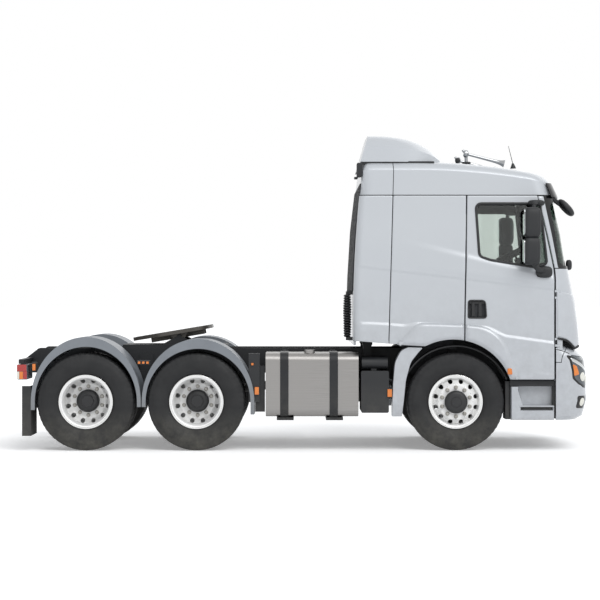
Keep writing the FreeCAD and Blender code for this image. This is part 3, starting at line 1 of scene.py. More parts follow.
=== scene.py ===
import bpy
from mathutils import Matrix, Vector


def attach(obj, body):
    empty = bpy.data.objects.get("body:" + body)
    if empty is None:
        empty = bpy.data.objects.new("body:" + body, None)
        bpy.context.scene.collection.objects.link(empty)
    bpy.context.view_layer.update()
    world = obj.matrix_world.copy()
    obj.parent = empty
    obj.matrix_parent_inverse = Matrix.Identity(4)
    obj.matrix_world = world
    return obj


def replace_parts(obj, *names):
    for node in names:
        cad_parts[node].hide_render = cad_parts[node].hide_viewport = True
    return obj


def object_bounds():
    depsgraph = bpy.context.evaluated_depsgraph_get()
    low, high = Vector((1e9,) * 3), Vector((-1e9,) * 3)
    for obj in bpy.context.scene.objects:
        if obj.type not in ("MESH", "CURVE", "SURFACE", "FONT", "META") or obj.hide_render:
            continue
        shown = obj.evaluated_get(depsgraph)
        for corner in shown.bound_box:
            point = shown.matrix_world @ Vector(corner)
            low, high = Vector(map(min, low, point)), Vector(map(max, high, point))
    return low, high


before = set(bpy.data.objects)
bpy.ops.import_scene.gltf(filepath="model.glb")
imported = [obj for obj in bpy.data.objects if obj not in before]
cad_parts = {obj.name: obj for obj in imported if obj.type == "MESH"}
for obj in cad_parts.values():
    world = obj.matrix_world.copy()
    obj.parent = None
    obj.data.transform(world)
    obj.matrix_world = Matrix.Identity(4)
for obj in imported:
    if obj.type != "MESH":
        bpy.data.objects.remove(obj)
cad_bounds = [list(corner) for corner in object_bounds()]

import math

import bpy
import numpy as np
from mathutils import Matrix, Vector
from mathutils.geometry import delaunay_2d_cdt

# Studio: a white paper floor and a white surround, one broad soft key light above and in front of
# the truck's right side and a weaker one from the tail. The camera stands 23 m off at eye height
# with a long lens, square to the truck's right side.
scene = bpy.context.scene
scene.view_settings.view_transform = "Standard"


def linear(code):
    """sRGB hex to linear light: c / 12.92 up to 0.04045, above it ((c + 0.055) / 1.055) to the power 2.4."""
    c = np.array([int(code[i:i + 2], 16) for i in (1, 3, 5)]) / 255
    light = np.where(c <= 0.04045, c / 12.92, ((c + 0.055) / 1.055) ** 2.4)
    return (*light.tolist(), 1.0)


def add_node(tree, kind, values=None, links=None):
    """Adds one shader node, sets its sockets or properties by name and links its inputs."""
    node = tree.nodes.new(kind)
    for key, value in (values or {}).items():
        if isinstance(key, int) or key in node.inputs:
            node.inputs[key].default_value = value
        else:
            setattr(node, key, value)
    for key, source in (links or {}).items():
        tree.links.new(source, node.inputs[key])
    return node


def new_material(name):
    """An empty node material and its output node."""
    material = bpy.data.materials.new(name)
    material.use_nodes = True
    tree = material.node_tree
    tree.nodes.clear()
    return material, tree, tree.nodes.new("ShaderNodeOutputMaterial")


def seen_by_eye(tree):
    """1 for camera, glossy and transmission rays, 0 for the rays that light the object."""
    path = add_node(tree, "ShaderNodeLightPath")
    camera_or_gloss = add_node(tree, "ShaderNodeMath", {"operation": "MAXIMUM"},
                               {0: path.outputs["Is Camera Ray"], 1: path.outputs["Is Glossy Ray"]})
    return add_node(tree, "ShaderNodeMath", {"operation": "MAXIMUM"},
                    {0: camera_or_gloss.outputs[0], 1: path.outputs["Is Transmission Ray"]}).outputs[0]


world = bpy.data.worlds.new("white_surround")
scene.world = world
world.use_nodes = True
world.node_tree.nodes.clear()
fill_strength = 0.62
fill = add_node(world.node_tree, "ShaderNodeBackground",
                {"Color": linear("#f3f5f8"), "Strength": fill_strength})
white = add_node(world.node_tree, "ShaderNodeBackground", {"Color": (1, 1, 1, 1), "Strength": 1.0})
surround = add_node(world.node_tree, "ShaderNodeMixShader", None,
                    {0: seen_by_eye(world.node_tree), 1: fill.outputs[0], 2: white.outputs[0]})
add_node(world.node_tree, "ShaderNodeOutputWorld", None, {"Surface": surround.outputs[0]})

paper, tree, out = new_material("white_paper_floor")
grain = add_node(tree, "ShaderNodeTexNoise", {"Scale": 3.0, "Detail": 2.0},
                 {"Vector": add_node(tree, "ShaderNodeTexCoord").outputs["Object"]})
tint = add_node(tree, "ShaderNodeMix", {"data_type": "RGBA", 6: linear("#fafafa"), 7: linear("#ffffff")},
                {0: grain.outputs["Fac"]})
lit = add_node(tree, "ShaderNodeBsdfDiffuse", None, {"Color": tint.outputs[2]})
glow = add_node(tree, "ShaderNodeEmission", {"Color": (1, 1, 1, 1), "Strength": 0.26})
both_glows = add_node(tree, "ShaderNodeAddShader", None, {0: lit.outputs[0], 1: glow.outputs[0]})
seen = add_node(tree, "ShaderNodeMixShader", None,
                {0: seen_by_eye(tree), 1: lit.outputs[0], 2: both_glows.outputs[0]})
tree.links.new(seen.outputs[0], out.inputs["Surface"])
floor_half = 400.0
floor_mesh = bpy.data.meshes.new("paper_floor")
floor_mesh.from_pydata([(-floor_half, -floor_half, 0), (floor_half, -floor_half, 0),
                        (floor_half, floor_half, 0), (-floor_half, floor_half, 0)], [], [(0, 1, 2, 3)])
floor = bpy.data.objects.new("paper_floor", floor_mesh)
scene.collection.objects.link(floor)
floor_mesh.materials.append(paper)

for label, turn, tilt, angle, strength in (("key_sun", -28, 48, 40, 1.55), ("tail_sun", -150, 60, 60, 0.45)):
    sun = bpy.data.lights.new(label, "SUN")
    sun.energy = strength
    sun.angle = math.radians(angle)
    lamp = bpy.data.objects.new(label, sun)
    lamp.rotation_euler = (math.radians(tilt), 0, math.radians(-turn))
    scene.collection.objects.link(lamp)

camera_data = bpy.data.cameras.new("eye")
camera = bpy.data.objects.new("eye", camera_data)
scene.collection.objects.link(camera)
scene.camera = camera
camera_data.sensor_width = 36.0
camera_data.lens = 115.3
camera_data.clip_end = 1000
camera.location = (-0.067, -23.335, 1.736)
camera.rotation_euler = (math.radians(90), 0, 0)

# Cab paint: a silver base coat with fine aluminium flake under a clear lacquer, sprayed and baked.
# The eye sees a cool light grey with a soft sheen, a faint cloud in the flake, and a darker grey in speckled
# patches towards the bottom.
SILVER = "#c0c4c8"


def finish_surface(name, first, second, patch_mm, rough, grain_mm=0.0, bump=0.0, metal=0.0, more=None,
                   dust=None, dust_height=0.0):
    """A finish in two close tints in patches of patch_mm, with roughness from rough[0] to rough[1],
    a surface grain of grain_mm and, up to dust_height metres, a film of road dust."""
    material, tree, out = new_material(name)
    coords = add_node(tree, "ShaderNodeTexCoord").outputs["Object"]
    patches = add_node(tree, "ShaderNodeTexNoise", {"Scale": 500.0 / patch_mm, "Detail": 3.0,
                                                    "Roughness": 0.55},
                       {"Vector": coords}).outputs["Fac"]
    share = add_node(tree, "ShaderNodeMapRange", {"From Min": 0.3, "From Max": 0.7}, {"Value": patches})
    colour = add_node(tree, "ShaderNodeMix", {"data_type": "RGBA", 6: linear(first), 7: linear(second)},
                      {0: share.outputs["Result"]}).outputs[2]
    roughness = add_node(tree, "ShaderNodeMapRange",
                         {"From Min": 0.3, "From Max": 0.7, "To Min": rough[0], "To Max": rough[1]},
                         {"Value": patches})
    if dust:
        height = add_node(tree, "ShaderNodeSeparateXYZ", None, {0: coords}).outputs["Z"]
        film = add_node(tree, "ShaderNodeMapRange",
                        {"From Min": 0.1, "From Max": dust_height, "To Min": 1.0, "To Max": 0.0},
                        {"Value": height})
        speckle = add_node(tree, "ShaderNodeTexNoise",
                           {"Scale": 500.0 / 60.0, "Detail": 6.0, "Roughness": 0.7},
                           {"Vector": coords})
        spots = add_node(tree, "ShaderNodeMapRange",
                         {"From Min": 0.35, "From Max": 0.75, "To Min": 0.15, "To Max": 0.75},
                         {"Value": speckle.outputs["Fac"]})
        cover = add_node(tree, "ShaderNodeMath", {"operation": "MULTIPLY", "use_clamp": True},
                         {0: film.outputs["Result"], 1: spots.outputs["Result"]})
        colour = add_node(tree, "ShaderNodeMix", {"data_type": "RGBA", 7: linear(dust)},
                          {0: cover.outputs[0], 6: colour}).outputs[2]
    shader = add_node(tree, "ShaderNodeBsdfPrincipled", {"Metallic": metal, **(more or {})},
                      {"Base Color": colour, "Roughness": roughness.outputs["Result"]})
    if bump:
        grain = add_node(tree, "ShaderNodeTexNoise",
                         {"Scale": 500.0 / grain_mm, "Detail": 3.0, "Roughness": 0.55}, {"Vector": coords})
        relief = add_node(tree, "ShaderNodeBump", {"Strength": bump, "Distance": grain_mm / 4000},
                          {"Height": grain.outputs["Fac"]})
        tree.links.new(relief.outputs["Normal"], shader.inputs["Normal"])
    tree.links.new(shader.outputs[0], out.inputs["Surface"])
    return material


# The #96979a film, speckled and fading out by 2.1 m, makes the paint a darker grey towards the bottom.
silver_paint = finish_surface("silver_metallic_paint", SILVER, "#bcc0c5", 900.0, (0.34, 0.38), 3.0, 0.012,
                              0.18,
                              {"Coat Weight": 0.55, "Coat Roughness": 0.12, "Specular IOR Level": 0.35},
                              "#96979a", 2.1)


def mesh_piece(name, points, faces, body, material, slot, sharp=40.0):
    """Puts points and faces into a new mesh whose object stays at the origin, and lets it ride on a body."""
    mesh = bpy.data.meshes.new(name)
    mesh.from_pydata(np.asarray(points, float).tolist(), [], [list(map(int, f)) for f in faces])
    mesh.materials.append(material)
    mesh.polygons.foreach_set("use_smooth", np.ones(len(mesh.polygons), bool))
    mesh.set_sharp_from_angle(angle=math.radians(sharp))
    mesh.update()
    piece = bpy.data.objects.new(name, mesh)
    scene.collection.objects.link(piece)
    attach(piece, body)
    return piece


def other_side(points, faces):
    """The same piece on the truck's other side: y changes sign, and each face turns round."""
    return np.asarray(points) * (1, -1, 1), [list(face)[::-1] for face in faces]


def each_side(name, shape, body, material, slot):
    """A piece on the left and its mirror image on the right; a door's pieces ride on their own door."""
    made = {}
    for side, form in (("left", shape), ("right", other_side(*shape))):
        rides = body + "_" + side if body == "door" else body
        made[side] = mesh_piece(name + "_" + side, *form, rides, material, slot)
    return made


# Cab skin: pressed steel panels on a frame, hemmed at their edges; the dark in the seams between them is
# painted shade. Doors, side panels, roof and front follow one surface, so the lines run through.
nose = cad_bounds[1][0]
cab_back = nose - 2.7805
cab_z = np.array([0.780, 1.330, 1.680, 2.095, 2.500, 2.943, 3.420])
cab_setback = np.array([0.092, 0.094, 0.135, 0.212, 0.278, 0.380, 0.540])
cab_lean = np.array([0.0, 0.0, 0.0, 0.012, 0.034, 0.071, 0.130])
cab_half = np.array([1.245, 1.245, 1.245, 1.245, 1.238, 1.215, 1.185])
cab_radius = np.array([0.260, 0.260, 0.260, 0.260, 0.250, 0.230, 0.210])
cab_bow = 0.075
rear_corner = 0.070


def at_height(z, column):
    """A cab measure at height z: cubic pieces through its values, with the slopes of their neighbours."""
    slopes = np.gradient(column, cab_z)
    i = np.clip(np.searchsorted(cab_z, z) - 1, 0, len(cab_z) - 2)
    span = cab_z[i + 1] - cab_z[i]
    t = np.clip((z - cab_z[i]) / span, 0, 1)
    return ((2 * t**3 - 3 * t**2 + 1) * column[i] + (t**3 - 2 * t**2 + t) * span * slopes[i]
            + (3 * t**2 - 2 * t**3) * column[i + 1] + (t**3 - t**2) * span * slopes[i + 1])


def corner_start(z):
    """The x where the straight side ends and the front corner begins."""
    return nose - at_height(z, cab_setback) - cab_bow - at_height(z, cab_radius)


def plan_front(d, start, half, r, bow_depth):
    """Half of a rounded front in plan, a distance d forward of start: the straight side, the corner's arc
    of radius r, then a wide arc that bows forward by bow_depth up to the middle."""
    spread = 2 * np.arctan(bow_depth / (half - r))
    bow = (half - r) / np.sin(spread) + r
    turn = r * (np.pi / 2 - spread)
    phi = np.clip(d / r, 0, np.pi / 2 - spread)
    angle = spread - np.maximum(d - turn, 0) / bow
    x = np.where(d > turn, start + bow_depth + r - bow + bow * np.cos(angle),
                 start + np.minimum(d, 0) + r * np.sin(phi))
    y = np.where(d > turn, bow * np.sin(angle), half - r + r * np.cos(phi))
    return x, y


def front_length(half, r, bow_depth):
    """The distance from the straight side's end to the middle of the front."""
    spread = 2 * np.arctan(bow_depth / (half - r))
    return r * (np.pi / 2 - spread) + ((half - r) / np.sin(spread) + r) * spread


def cab_base(d, z):
    """The cab's left half in plan at height z: the front, and behind the straight side a small quarter
    circle and the rear wall."""
    half = at_height(z, cab_half)
    start = corner_start(z)
    x, y = plan_front(d, start, half, at_height(z, cab_radius), cab_bow)
    rear = cab_back + at_height(z, cab_lean)
    back_d = rear + rear_corner - start
    psi = np.clip((back_d - d) / rear_corner, 0, np.pi / 2)
    x = np.where(d < back_d, rear + rear_corner - rear_corner * np.sin(psi), x)
    y = np.where(d < back_d, half - rear_corner + rear_corner * np.cos(psi), y)
    y = y - np.maximum(back_d - rear_corner * np.pi / 2 - d, 0)
    return x, y


def step_up(value, start, end):
    """0 before start, 1 after end, and 3t^2 - 2t^3 between."""
    t = np.clip((value - start) / (end - start), 0, 1)
    return t * t * (3 - 2 * t)


def side_relief(x, z):
    """How far the pressed lines stand out of the side, in metres: the broad swage under the side glass that
    runs out towards the rear, the long crease below it, and the sill that stands proud low down."""
    crease = 2.127 - 0.119 * (x - 0.565)
    shoulder = 2.345 - 0.242 * (x - 1.428)
    grow = step_up(x, 0.95, 2.00)
    swage = grow * 0.015 * step_up(shoulder - z, -0.045, 0.045) * (1 - step_up(crease - z, -0.10, 0.0))
    above = 0.010 * (1 - step_up(crease - z, -0.008, 0.012)) * (1 - step_up(z, 2.25, 2.75))
    over_arch = step_up(x, 1.10, 1.30) * (1 - step_up(x, 2.04, 2.32))
    sill_line = np.where(x < 1.6, 1.490 - 0.095 * np.clip(x - 0.565, 0, 2) ** 2, 1.351 - 0.141 * (x - 2.233))
    sill_line = sill_line + (1.486 - 0.055 * (x - 1.27) - sill_line) * over_arch
    sill = 0.016 * step_up(sill_line - z, 0.0, 0.036)
    fold = 0.005 * step_up(0.905 - 0.13 * (x - 2.66) - z, -0.006, 0.010) * step_up(x, 2.60, 2.70)
    return swage + above + sill + fold


def off_surface(skin, d, z, depth):
    """A point of the surface skin(d, z), moved inwards by depth along the normal, which is the cross
    product of the surface's runs along d and up z."""
    d = np.asarray(d, float)
    z = np.asarray(z, float)
    small = 0.002
    along = skin(d + small, z) - skin(d - small, z)
    up = skin(d, z + small) - skin(d, z - small)
    normal = np.cross(up, along)
    normal /= np.linalg.norm(normal, axis=-1, keepdims=True) + 1e-12
    return skin(d, z) - normal * np.asarray(depth)[..., None]


def cab_skin(d, z):
    """The cab's plan with the pressed lines added on its straight side."""
    x, y = cab_base(d, z)
    on_side = step_up(x, cab_back + 0.02, cab_back + 0.10) * (1 - step_up(d, 0.02, 0.22))
    return np.stack([x, y + on_side * side_relief(x, z), z + 0 * x], -1)


def cab_point(d, z, depth=0.0):
    """A point of the cab's left skin, moved inwards by depth."""
    return off_surface(cab_skin, d, z, depth)


def rounded(corners, steps=8):
    """A closed outline of (a, b, radius) corners, each radius an arc that both sides touch."""
    made = []
    count = len(corners)
    for i, (a, b, radius) in enumerate(corners):
        p = np.array([a, b])
        if radius == 0:
            made.append(p[None])
            continue
        before = np.array(corners[i - 1][:2]) - p
        after = np.array(corners[(i + 1) % count][:2]) - p
        before /= np.linalg.norm(before)
        after /= np.linalg.norm(after)
        half = math.acos(np.clip(before @ after, -1, 1)) / 2
        middle = before + after
        centre = p + middle / np.linalg.norm(middle) * radius / math.sin(half)
        first = p + before * radius / math.tan(half) - centre
        last = p + after * radius / math.tan(half) - centre
        sweep = math.acos(np.clip(first @ last / radius**2, -1, 1))
        t = np.linspace(0, 1, steps + 1)[:, None]
        made.append(centre + (np.sin((1 - t) * sweep) * first + np.sin(t * sweep) * last) / math.sin(sweep))
    return np.concatenate(made)


def spaced(loop, gap):
    """The closed loop with its points spread evenly, about gap apart."""
    closed = np.vstack([loop, loop[:1]])
    run = np.concatenate([[0], np.cumsum(np.linalg.norm(np.diff(closed, axis=0), axis=1))])
    count = max(int(run[-1] / gap), 12)
    at = np.linspace(0, run[-1], count, endpoint=False)
    return np.stack([np.interp(at, run, closed[:, k]) for k in (0, 1)], -1)


def turned_ccw(loop, wanted=True):
    """The loop, turned round if its signed area says it runs the other way."""
    a, b = loop[:, 0], loop[:, 1]
    area = (a * np.roll(b, -1) - np.roll(a, -1) * b).sum()
    return loop if (area > 0) == wanted else loop[::-1]


def outward_of(loop):
    """The unit normals on the right of a loop's run: out of the sheet round its rim and into its holes."""
    run = np.roll(loop, -1, axis=0) - np.roll(loop, 1, axis=0)
    side = np.stack([run[:, 1], -run[:, 0]], -1)
    return side / (np.linalg.norm(side, axis=1, keepdims=True) + 1e-12)


def inside_loop(points, loop):
    """True for the points inside the loop, by counting the edges that a line to the right crosses."""
    a, b = loop, np.roll(loop, -1, axis=0)
    x, y = points[:, 0, None], points[:, 1, None]
    crosses = (a[:, 1] > y) != (b[:, 1] > y)
    at = a[:, 0] + (y - a[:, 1]) * (b[:, 0] - a[:, 0]) / np.where(b[:, 1] == a[:, 1], 1e-12,
                                                                  b[:, 1] - a[:, 1])
    return (crosses & (x < at)).sum(1) % 2 == 1


def sheet_net(outer, holes, gap, edge, depth, roll, steps=4):
    """A flat sheet as (a, b, depth) points and faces: even points inside the outline joined by Delaunay
    triangles, and round each outline a strip that falls away over roll by edge, as t^1.4, and then runs
    straight in to depth."""
    loops = [turned_ccw(spaced(outer, gap))] + [turned_ccw(spaced(h, gap), False) for h in holes]
    normals = [outward_of(loop) for loop in loops]
    inner = [loop - normal * roll for loop, normal in zip(loops, normals)]
    low = inner[0].min(0)
    high = inner[0].max(0)
    a, b = np.meshgrid(np.arange(low[0], high[0], gap), np.arange(low[1], high[1], gap * 0.866))
    a = a + (np.arange(len(a)) % 2)[:, None] * gap / 2
    inside = np.stack([a.ravel(), b.ravel()], -1)
    inside = inside[inside_loop(inside, inner[0])]
    for hole in inner[1:]:
        inside = inside[~inside_loop(inside, hole)]
    for loop in inner:
        apart = np.sqrt(((inside[:, None] - loop[None]) ** 2).sum(-1)).min(1)
        inside = inside[apart > gap * 0.6]
    rims = np.concatenate(inner)
    edges = []
    start = 0
    for loop in inner:
        edges += [(start + i, start + (i + 1) % len(loop)) for i in range(len(loop))]
        start += len(loop)
    flat = np.concatenate([rims, inside])
    made = delaunay_2d_cdt([Vector(p) for p in flat.tolist()], edges, [], 0, 1e-7)
    points = [np.array([tuple(p) for p in made[0]])]
    points[0] = np.column_stack([points[0], np.zeros(len(points[0]))])
    triangles = np.array([list(f) for f in made[2] if len(f) == 3])
    middles = points[0][triangles, :2].mean(1)
    kept = inside_loop(middles, inner[0])
    for hole in inner[1:]:
        kept &= ~inside_loop(middles, hole)
    faces = triangles[kept].tolist()
    place = np.full(len(flat), -1)
    for i, origins in enumerate(made[3]):
        place[list(origins)] = i
    count = len(points[0])
    start = 0
    for loop, normal in zip(loops, normals):
        size = len(loop)
        before = place[start:start + size]
        run = np.linspace(0, 1, steps + 1)[1:]
        rings = [(roll * t, edge * t**1.4) for t in run] + [(roll, depth)]
        for out, down in rings:
            ring = loop - normal * roll + normal * out
            points.append(np.column_stack([ring, np.full(size, down)]))
            here = count + np.arange(size)
            faces += np.stack([before, here, np.roll(here, -1), np.roll(before, -1)], -1).tolist()
            before = here
            count += size
        start += size
    return np.concatenate(points), faces


def skin_points(net, lift=0.0):
    """Lays a flat net on the cab's left skin: its first axis is measured forward along the skin, its
    second up."""
    return cab_point(net[:, 0] - corner_start(net[:, 1]), net[:, 1], net[:, 2] - lift)


def skin_panel(name, outer, holes, body, lift=0.004, gap=0.016, edge=0.004, depth=0.012, roll=None,
               material=None, slot="cab_paint", lay=skin_points):
    """A pressed panel for each side, from outlines along and up the surface that lay puts it on."""
    net, faces = sheet_net(outer, holes, gap, edge, depth, roll or edge)
    each_side(name, (lay(net, lift), [f[::-1] for f in faces]), body, material or silver_paint, slot)


def strip_along(x0, z0, x1, z1):
    """The x of the straight line through (x0, z0) and (x1, z1), for any z."""
    return lambda z: x0 + (x1 - x0) * (z - z0) / (z1 - z0)


seam = 0.0045
door_gap = seam * 1.6
roof_seam = 2.943
rear_seam = strip_along(0.953, 1.230, 1.014, 3.300)
door_back = strip_along(1.8255, 1.276, 1.8515, 2.943)
door_edge = nose - 0.470
arch = np.array([1.6935, 0.588])
arch_radius = 0.695
door_low = 0.822


def arch_arc(x0, x1, radius, count=40):
    """Points of the wheel arch's circle, of the given radius, between two x values, left to right."""
    x = np.linspace(x0, x1, count)
    return np.column_stack([x, arch[1] + np.sqrt(radius**2 - (x - arch[0]) ** 2)])


def hem(x):
    """The height of the cab's lower edge behind the wheel arch."""
    return np.interp(x, [0.612, 1.3705], [1.262, 1.201])


# Rear corner panels: two steel pressings that wrap from the side round to the rear wall, spot welded to
# the cab's frame. Their lower edge follows the hem behind the wheel arch.
lower_rear = rounded([(0.42, 1.262, 0), (0.612, 1.262, 0.5),
                      (rear_seam(1.24) - seam, hem(rear_seam(1.24)), 0.004),
                      (rear_seam(roof_seam) - seam, roof_seam - seam, 0.004), (0.42, roof_seam - seam, 0)])
skin_panel("rear_corner_panel", lower_rear, [], "cab")

# Side panels: pressed steel between the rear corner and the door, spot welded to the cab's frame. They
# end below at the arch flare and the hem.
side_outline = rounded([
    (rear_seam(1.24) + seam, hem(rear_seam(1.24)), 0.004), (1.045, hem(1.045), 0.0), (1.31, 1.40, 0.16),
    (door_back(1.40) - door_gap, 1.40, 0.004), (door_back(roof_seam) - door_gap, roof_seam - seam, 0.004),
    (rear_seam(roof_seam) + seam, roof_seam - seam, 0.004)])
skin_panel("side_panel", side_outline, [], "cab")

# Doors: a pressed steel outer skin, hemmed round the door's frame, with the window opening and a pocket
# for the pull handle. Each swings on the hinges at its front edge.
window = [(1.9545, 2.846, 0.06), (2.6925, 2.846, 0.04), (2.7705, 2.150, 0.045), (2.6325, 2.112, 0.15),
          (2.1185, 2.196, 0.06), (1.9945, 2.240, 0.06)]
window_hole = rounded(window)
handle_hole = rounded([(1.8665, 1.529, 0.014), (1.8685, 1.731, 0.025), (2.0625, 1.731, 0.04),
                       (2.0765, 1.529, 0.025)])
door_outline = rounded([
    (door_back(1.40) + door_gap, 1.40, 0.004), (door_back(roof_seam) + door_gap, roof_seam - seam, 0.004),
    (nose - 0.666, roof_seam - seam, 0.012), (door_edge - seam, 2.060, 0.9),
    (door_edge - seam, door_low, 0.010),
    (2.352, door_low, 0.0), (2.335, 0.93, 0.0), (2.20, 1.28, 0.12)])
skin_panel("door_skin", door_outline, [window_hole, handle_hole], "door")

# Arch flares: painted plastic lips, moulded with a chamfered edge and screwed round the wheel arch. The
# rear half is on the cab, and the front half goes with the door.
flare_back = np.concatenate([
    rounded([(1.046, 1.222, 0.0), (arch[0] - 0.419, arch[1] + 0.887, 0.20),
             (door_back(1.46) - door_gap, 1.462, 0.002), (door_back(1.30) - door_gap, 1.30, 0.0)])[:-1],
    arch_arc(1.3735, door_back(1.28) - door_gap, arch_radius)[::-1]])
flare_door = np.concatenate([
    rounded([(door_back(1.30) + door_gap, 1.30, 0.0), (door_back(1.46) + door_gap, 1.460, 0.002),
             (arch[0] + 0.536, arch[1] + 0.832, 0.45), (2.460, door_low, 0.0)])[1:],
    arch_arc(door_back(1.28) + door_gap, 2.3475, arch_radius)[::-1]])
skin_panel("arch_flare_rear", flare_back, [], "cab", lift=0.026, edge=0.022, depth=0.030, roll=0.040)
skin_panel("arch_flare_door", flare_door, [], "door", lift=0.026, edge=0.022, depth=0.030, roll=0.040)

# Window seals: an extruded black rubber section, joined into a ring and pressed on the edge of the
# glass opening in each door.
moulded_rubber = finish_surface("moulded_seal_rubber", "#161718", "#1e2022", 40.0, (0.45, 0.6), 2.0, 0.05)


def grid_faces(rows, columns, close_rows=False, close_columns=False):
    """Quads of a grid of rows by columns points, joined round where a direction closes."""
    r = np.arange(rows if close_rows else rows - 1)
    c = np.arange(columns if close_columns else columns - 1)
    a, b = np.meshgrid(r, c, indexing="ij")
    a2 = (a + 1) % rows
    b2 = (b + 1) % columns
    return np.stack([a * columns + b, a2 * columns + b, a2 * columns + b2, a * columns + b2],
                    -1).reshape(-1, 4)


def ring_sweep(path, section, closed=True):
    """A section (side, up) carried round a flat closed path (a, b): side is outward in the path's plane."""
    n = len(path)
    out = outward_of(path)
    rings = path[:, None] + out[:, None] * section[None, :, :1]
    points = np.concatenate([rings, np.broadcast_to(section[None, :, 1:], (n, len(section), 1))], -1)
    return points.reshape(-1, 3), grid_faces(n, len(section), close_rows=closed, close_columns=True)


def round_section(width, height, count=10, power=3.0):
    """A rounded oblong: a circle's points with their coordinates drawn out to the power 2 / power."""
    t = np.linspace(0, 2 * np.pi, count, endpoint=False)
    c, s = np.cos(t), np.sin(t)
    return np.column_stack([np.sign(c) * np.abs(c) ** (2 / power) * width / 2,
                            np.sign(s) * np.abs(s) ** (2 / power) * height / 2])


seal_path = turned_ccw(spaced(rounded(window), 0.02))
seal_net, seal_faces = ring_sweep(seal_path, round_section(0.030, 0.022))
each_side("window_seal", (skin_points(seal_net, 0.006), seal_faces), "door", moulded_rubber, "black_plastic")

# Cab structure behind the skin: steel pressings and dark moulded liners, seen inside the doors and through
# the glass; their dark a few millimetres under the skin's seams paints the shade in them. The front panels
# between the lamps are painted silver.
liner_and_seam_shade = finish_surface("grey_liner_and_seam_shade", "#2b2d30", "#333539", 120.0, (0.62, 0.75), 4.0, 0.12)
# A flat black that paints the shade in the seams and gaps between panels.
seam_shade_black = finish_surface("painted_seam_shade_black", "#101112", "#17181a", 60.0, (0.6, 0.8), 3.0, 0.05)
gloss_black = finish_surface("gloss_black_panel", "#0c0d0e", "#111214", 300.0, (0.12, 0.2), 3.0, 0.01)


def dress(material, *nodes):
    """Gives CAD nodes a finish by their material slots."""
    for node in nodes:
        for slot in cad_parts[node].material_slots:
            slot.material = material


# The dark liner on the cab's sides and doors lies under the skin's seams and paints the shade in them.
dress(liner_and_seam_shade, "cab_sides", "door_left", "door_right", "cab_floor", "dashboard")
dress(silver_paint, "front_panel", "bumper")
dress(seam_shade_black, "cab_rear")
dress(gloss_black, "grille", "screen_surround")

# Glazing: 6 mm tempered side glass held by the doors' seals, and a laminated windscreen in its frame.
# Both are faintly green in the mass.
def tinted_glass(name, tint):
    """Clear glass of the given tint, with the faintest haze."""
    material, tree, out = new_material(name)
    coords = add_node(tree, "ShaderNodeTexCoord").outputs["Object"]
    mist = add_node(tree, "ShaderNodeTexNoise", {"Scale": 500.0 / 300.0, "Detail": 3.0, "Roughness": 0.55},
                    {"Vector": coords})
    haze = add_node(tree, "ShaderNodeMapRange", {"From Min": 0.3, "From Max": 0.7, "To Min": 0.0,
                                                 "To Max": 0.03},
                    {"Value": mist.outputs["Fac"]}).outputs["Result"]
    shader = add_node(tree, "ShaderNodeBsdfPrincipled",
                      {"Base Color": linear(tint), "Transmission Weight": 1.0, "IOR": 1.5},
                      {"Roughness": haze})
    tree.links.new(shader.outputs[0], out.inputs["Surface"])
    return material


dress(tinted_glass("green_tinted_side_glass", "#dbe2de"), "door_glass_left", "door_glass_right")
dress(tinted_glass("laminated_screen_glass", "#6d7c74"), "windscreen")

# Frame and running gear: rolled rails, forged axles and steel brackets, bolted together and painted
# satin black, with dry road dust low down.
chassis_black = finish_surface("satin_black_chassis_paint", "#15171a", "#1c1e21", 250.0, (0.42, 0.58), 3.0,
                               0.04,
                               more={"Specular IOR Level": 0.4}, dust="#4c4a46", dust_height=0.9)
dress(chassis_black, "frame_rail_left", "frame_rail_right", "crossmembers", "front_axle", "leaf_springs",
      "drive_axles", "driveline", "brackets", "knuckle_left", "knuckle_right", "tie_rod", "tank_straps",
      "fifth_wheel_base", "engine_block", "tilt_barrel", "tilt_rod", "exhaust_box")

# Mouldings and rubber: a polypropylene battery box, grey moulded mudguards on steel stays, and mud
# flaps of rubber sheet.
box_plastic = finish_surface("textured_black_polypropylene", "#15171a", "#1b1d20", 90.0, (0.5, 0.62), 2.0,
                             0.10,
                             dust="#5a5852", dust_height=0.8)
guard_plastic = finish_surface("grey_moulded_mudguard", "#777c82", "#81868c", 160.0, (0.38, 0.5), 3.0, 0.05,
                               dust="#8a8780", dust_height=0.9)
flap_rubber = finish_surface("mud_flap_rubber", "#1b1c1e", "#232426", 90.0, (0.6, 0.75), 5.0, 0.1,
                             dust="#5a5852", dust_height=0.8)
dress(box_plastic, "battery_box")
dress(guard_plastic, "rear_mudguards")
dress(flap_rubber, "mud_flaps")

# Fuel tank: aluminium sheet, brushed along its length and rolled into a rounded oblong with its ends
# pressed in, held to the right frame rail by straps.
material, tree, out = new_material("brushed_aluminium_sheet")
coords = add_node(tree, "ShaderNodeTexCoord").outputs["Object"]
split = add_node(tree, "ShaderNodeSeparateXYZ", None, {0: coords})
drawn_out = add_node(tree, "ShaderNodeMapRange", {"To Max": 0.02}, {"Value": split.outputs["X"]})
along = add_node(tree, "ShaderNodeCombineXYZ", None,
                 {0: drawn_out.outputs["Result"], 1: split.outputs["Y"], 2: split.outputs["Z"]})
brush = add_node(tree, "ShaderNodeTexNoise", {"Scale": 500.0 / 4.0, "Detail": 4.0, "Roughness": 0.7},
                 {"Vector": along.outputs[0]}).outputs["Fac"]
cloud = add_node(tree, "ShaderNodeTexNoise", {"Scale": 500.0 / 350.0, "Detail": 3.0, "Roughness": 0.55},
                 {"Vector": coords}).outputs["Fac"]
share = add_node(tree, "ShaderNodeMapRange", {"From Min": 0.25, "From Max": 0.75}, {"Value": brush})
tone = add_node(tree, "ShaderNodeMix", {"data_type": "RGBA", 6: linear("#908e8c"), 7: linear("#9e9c9a")},
                {0: share.outputs["Result"]}).outputs[2]
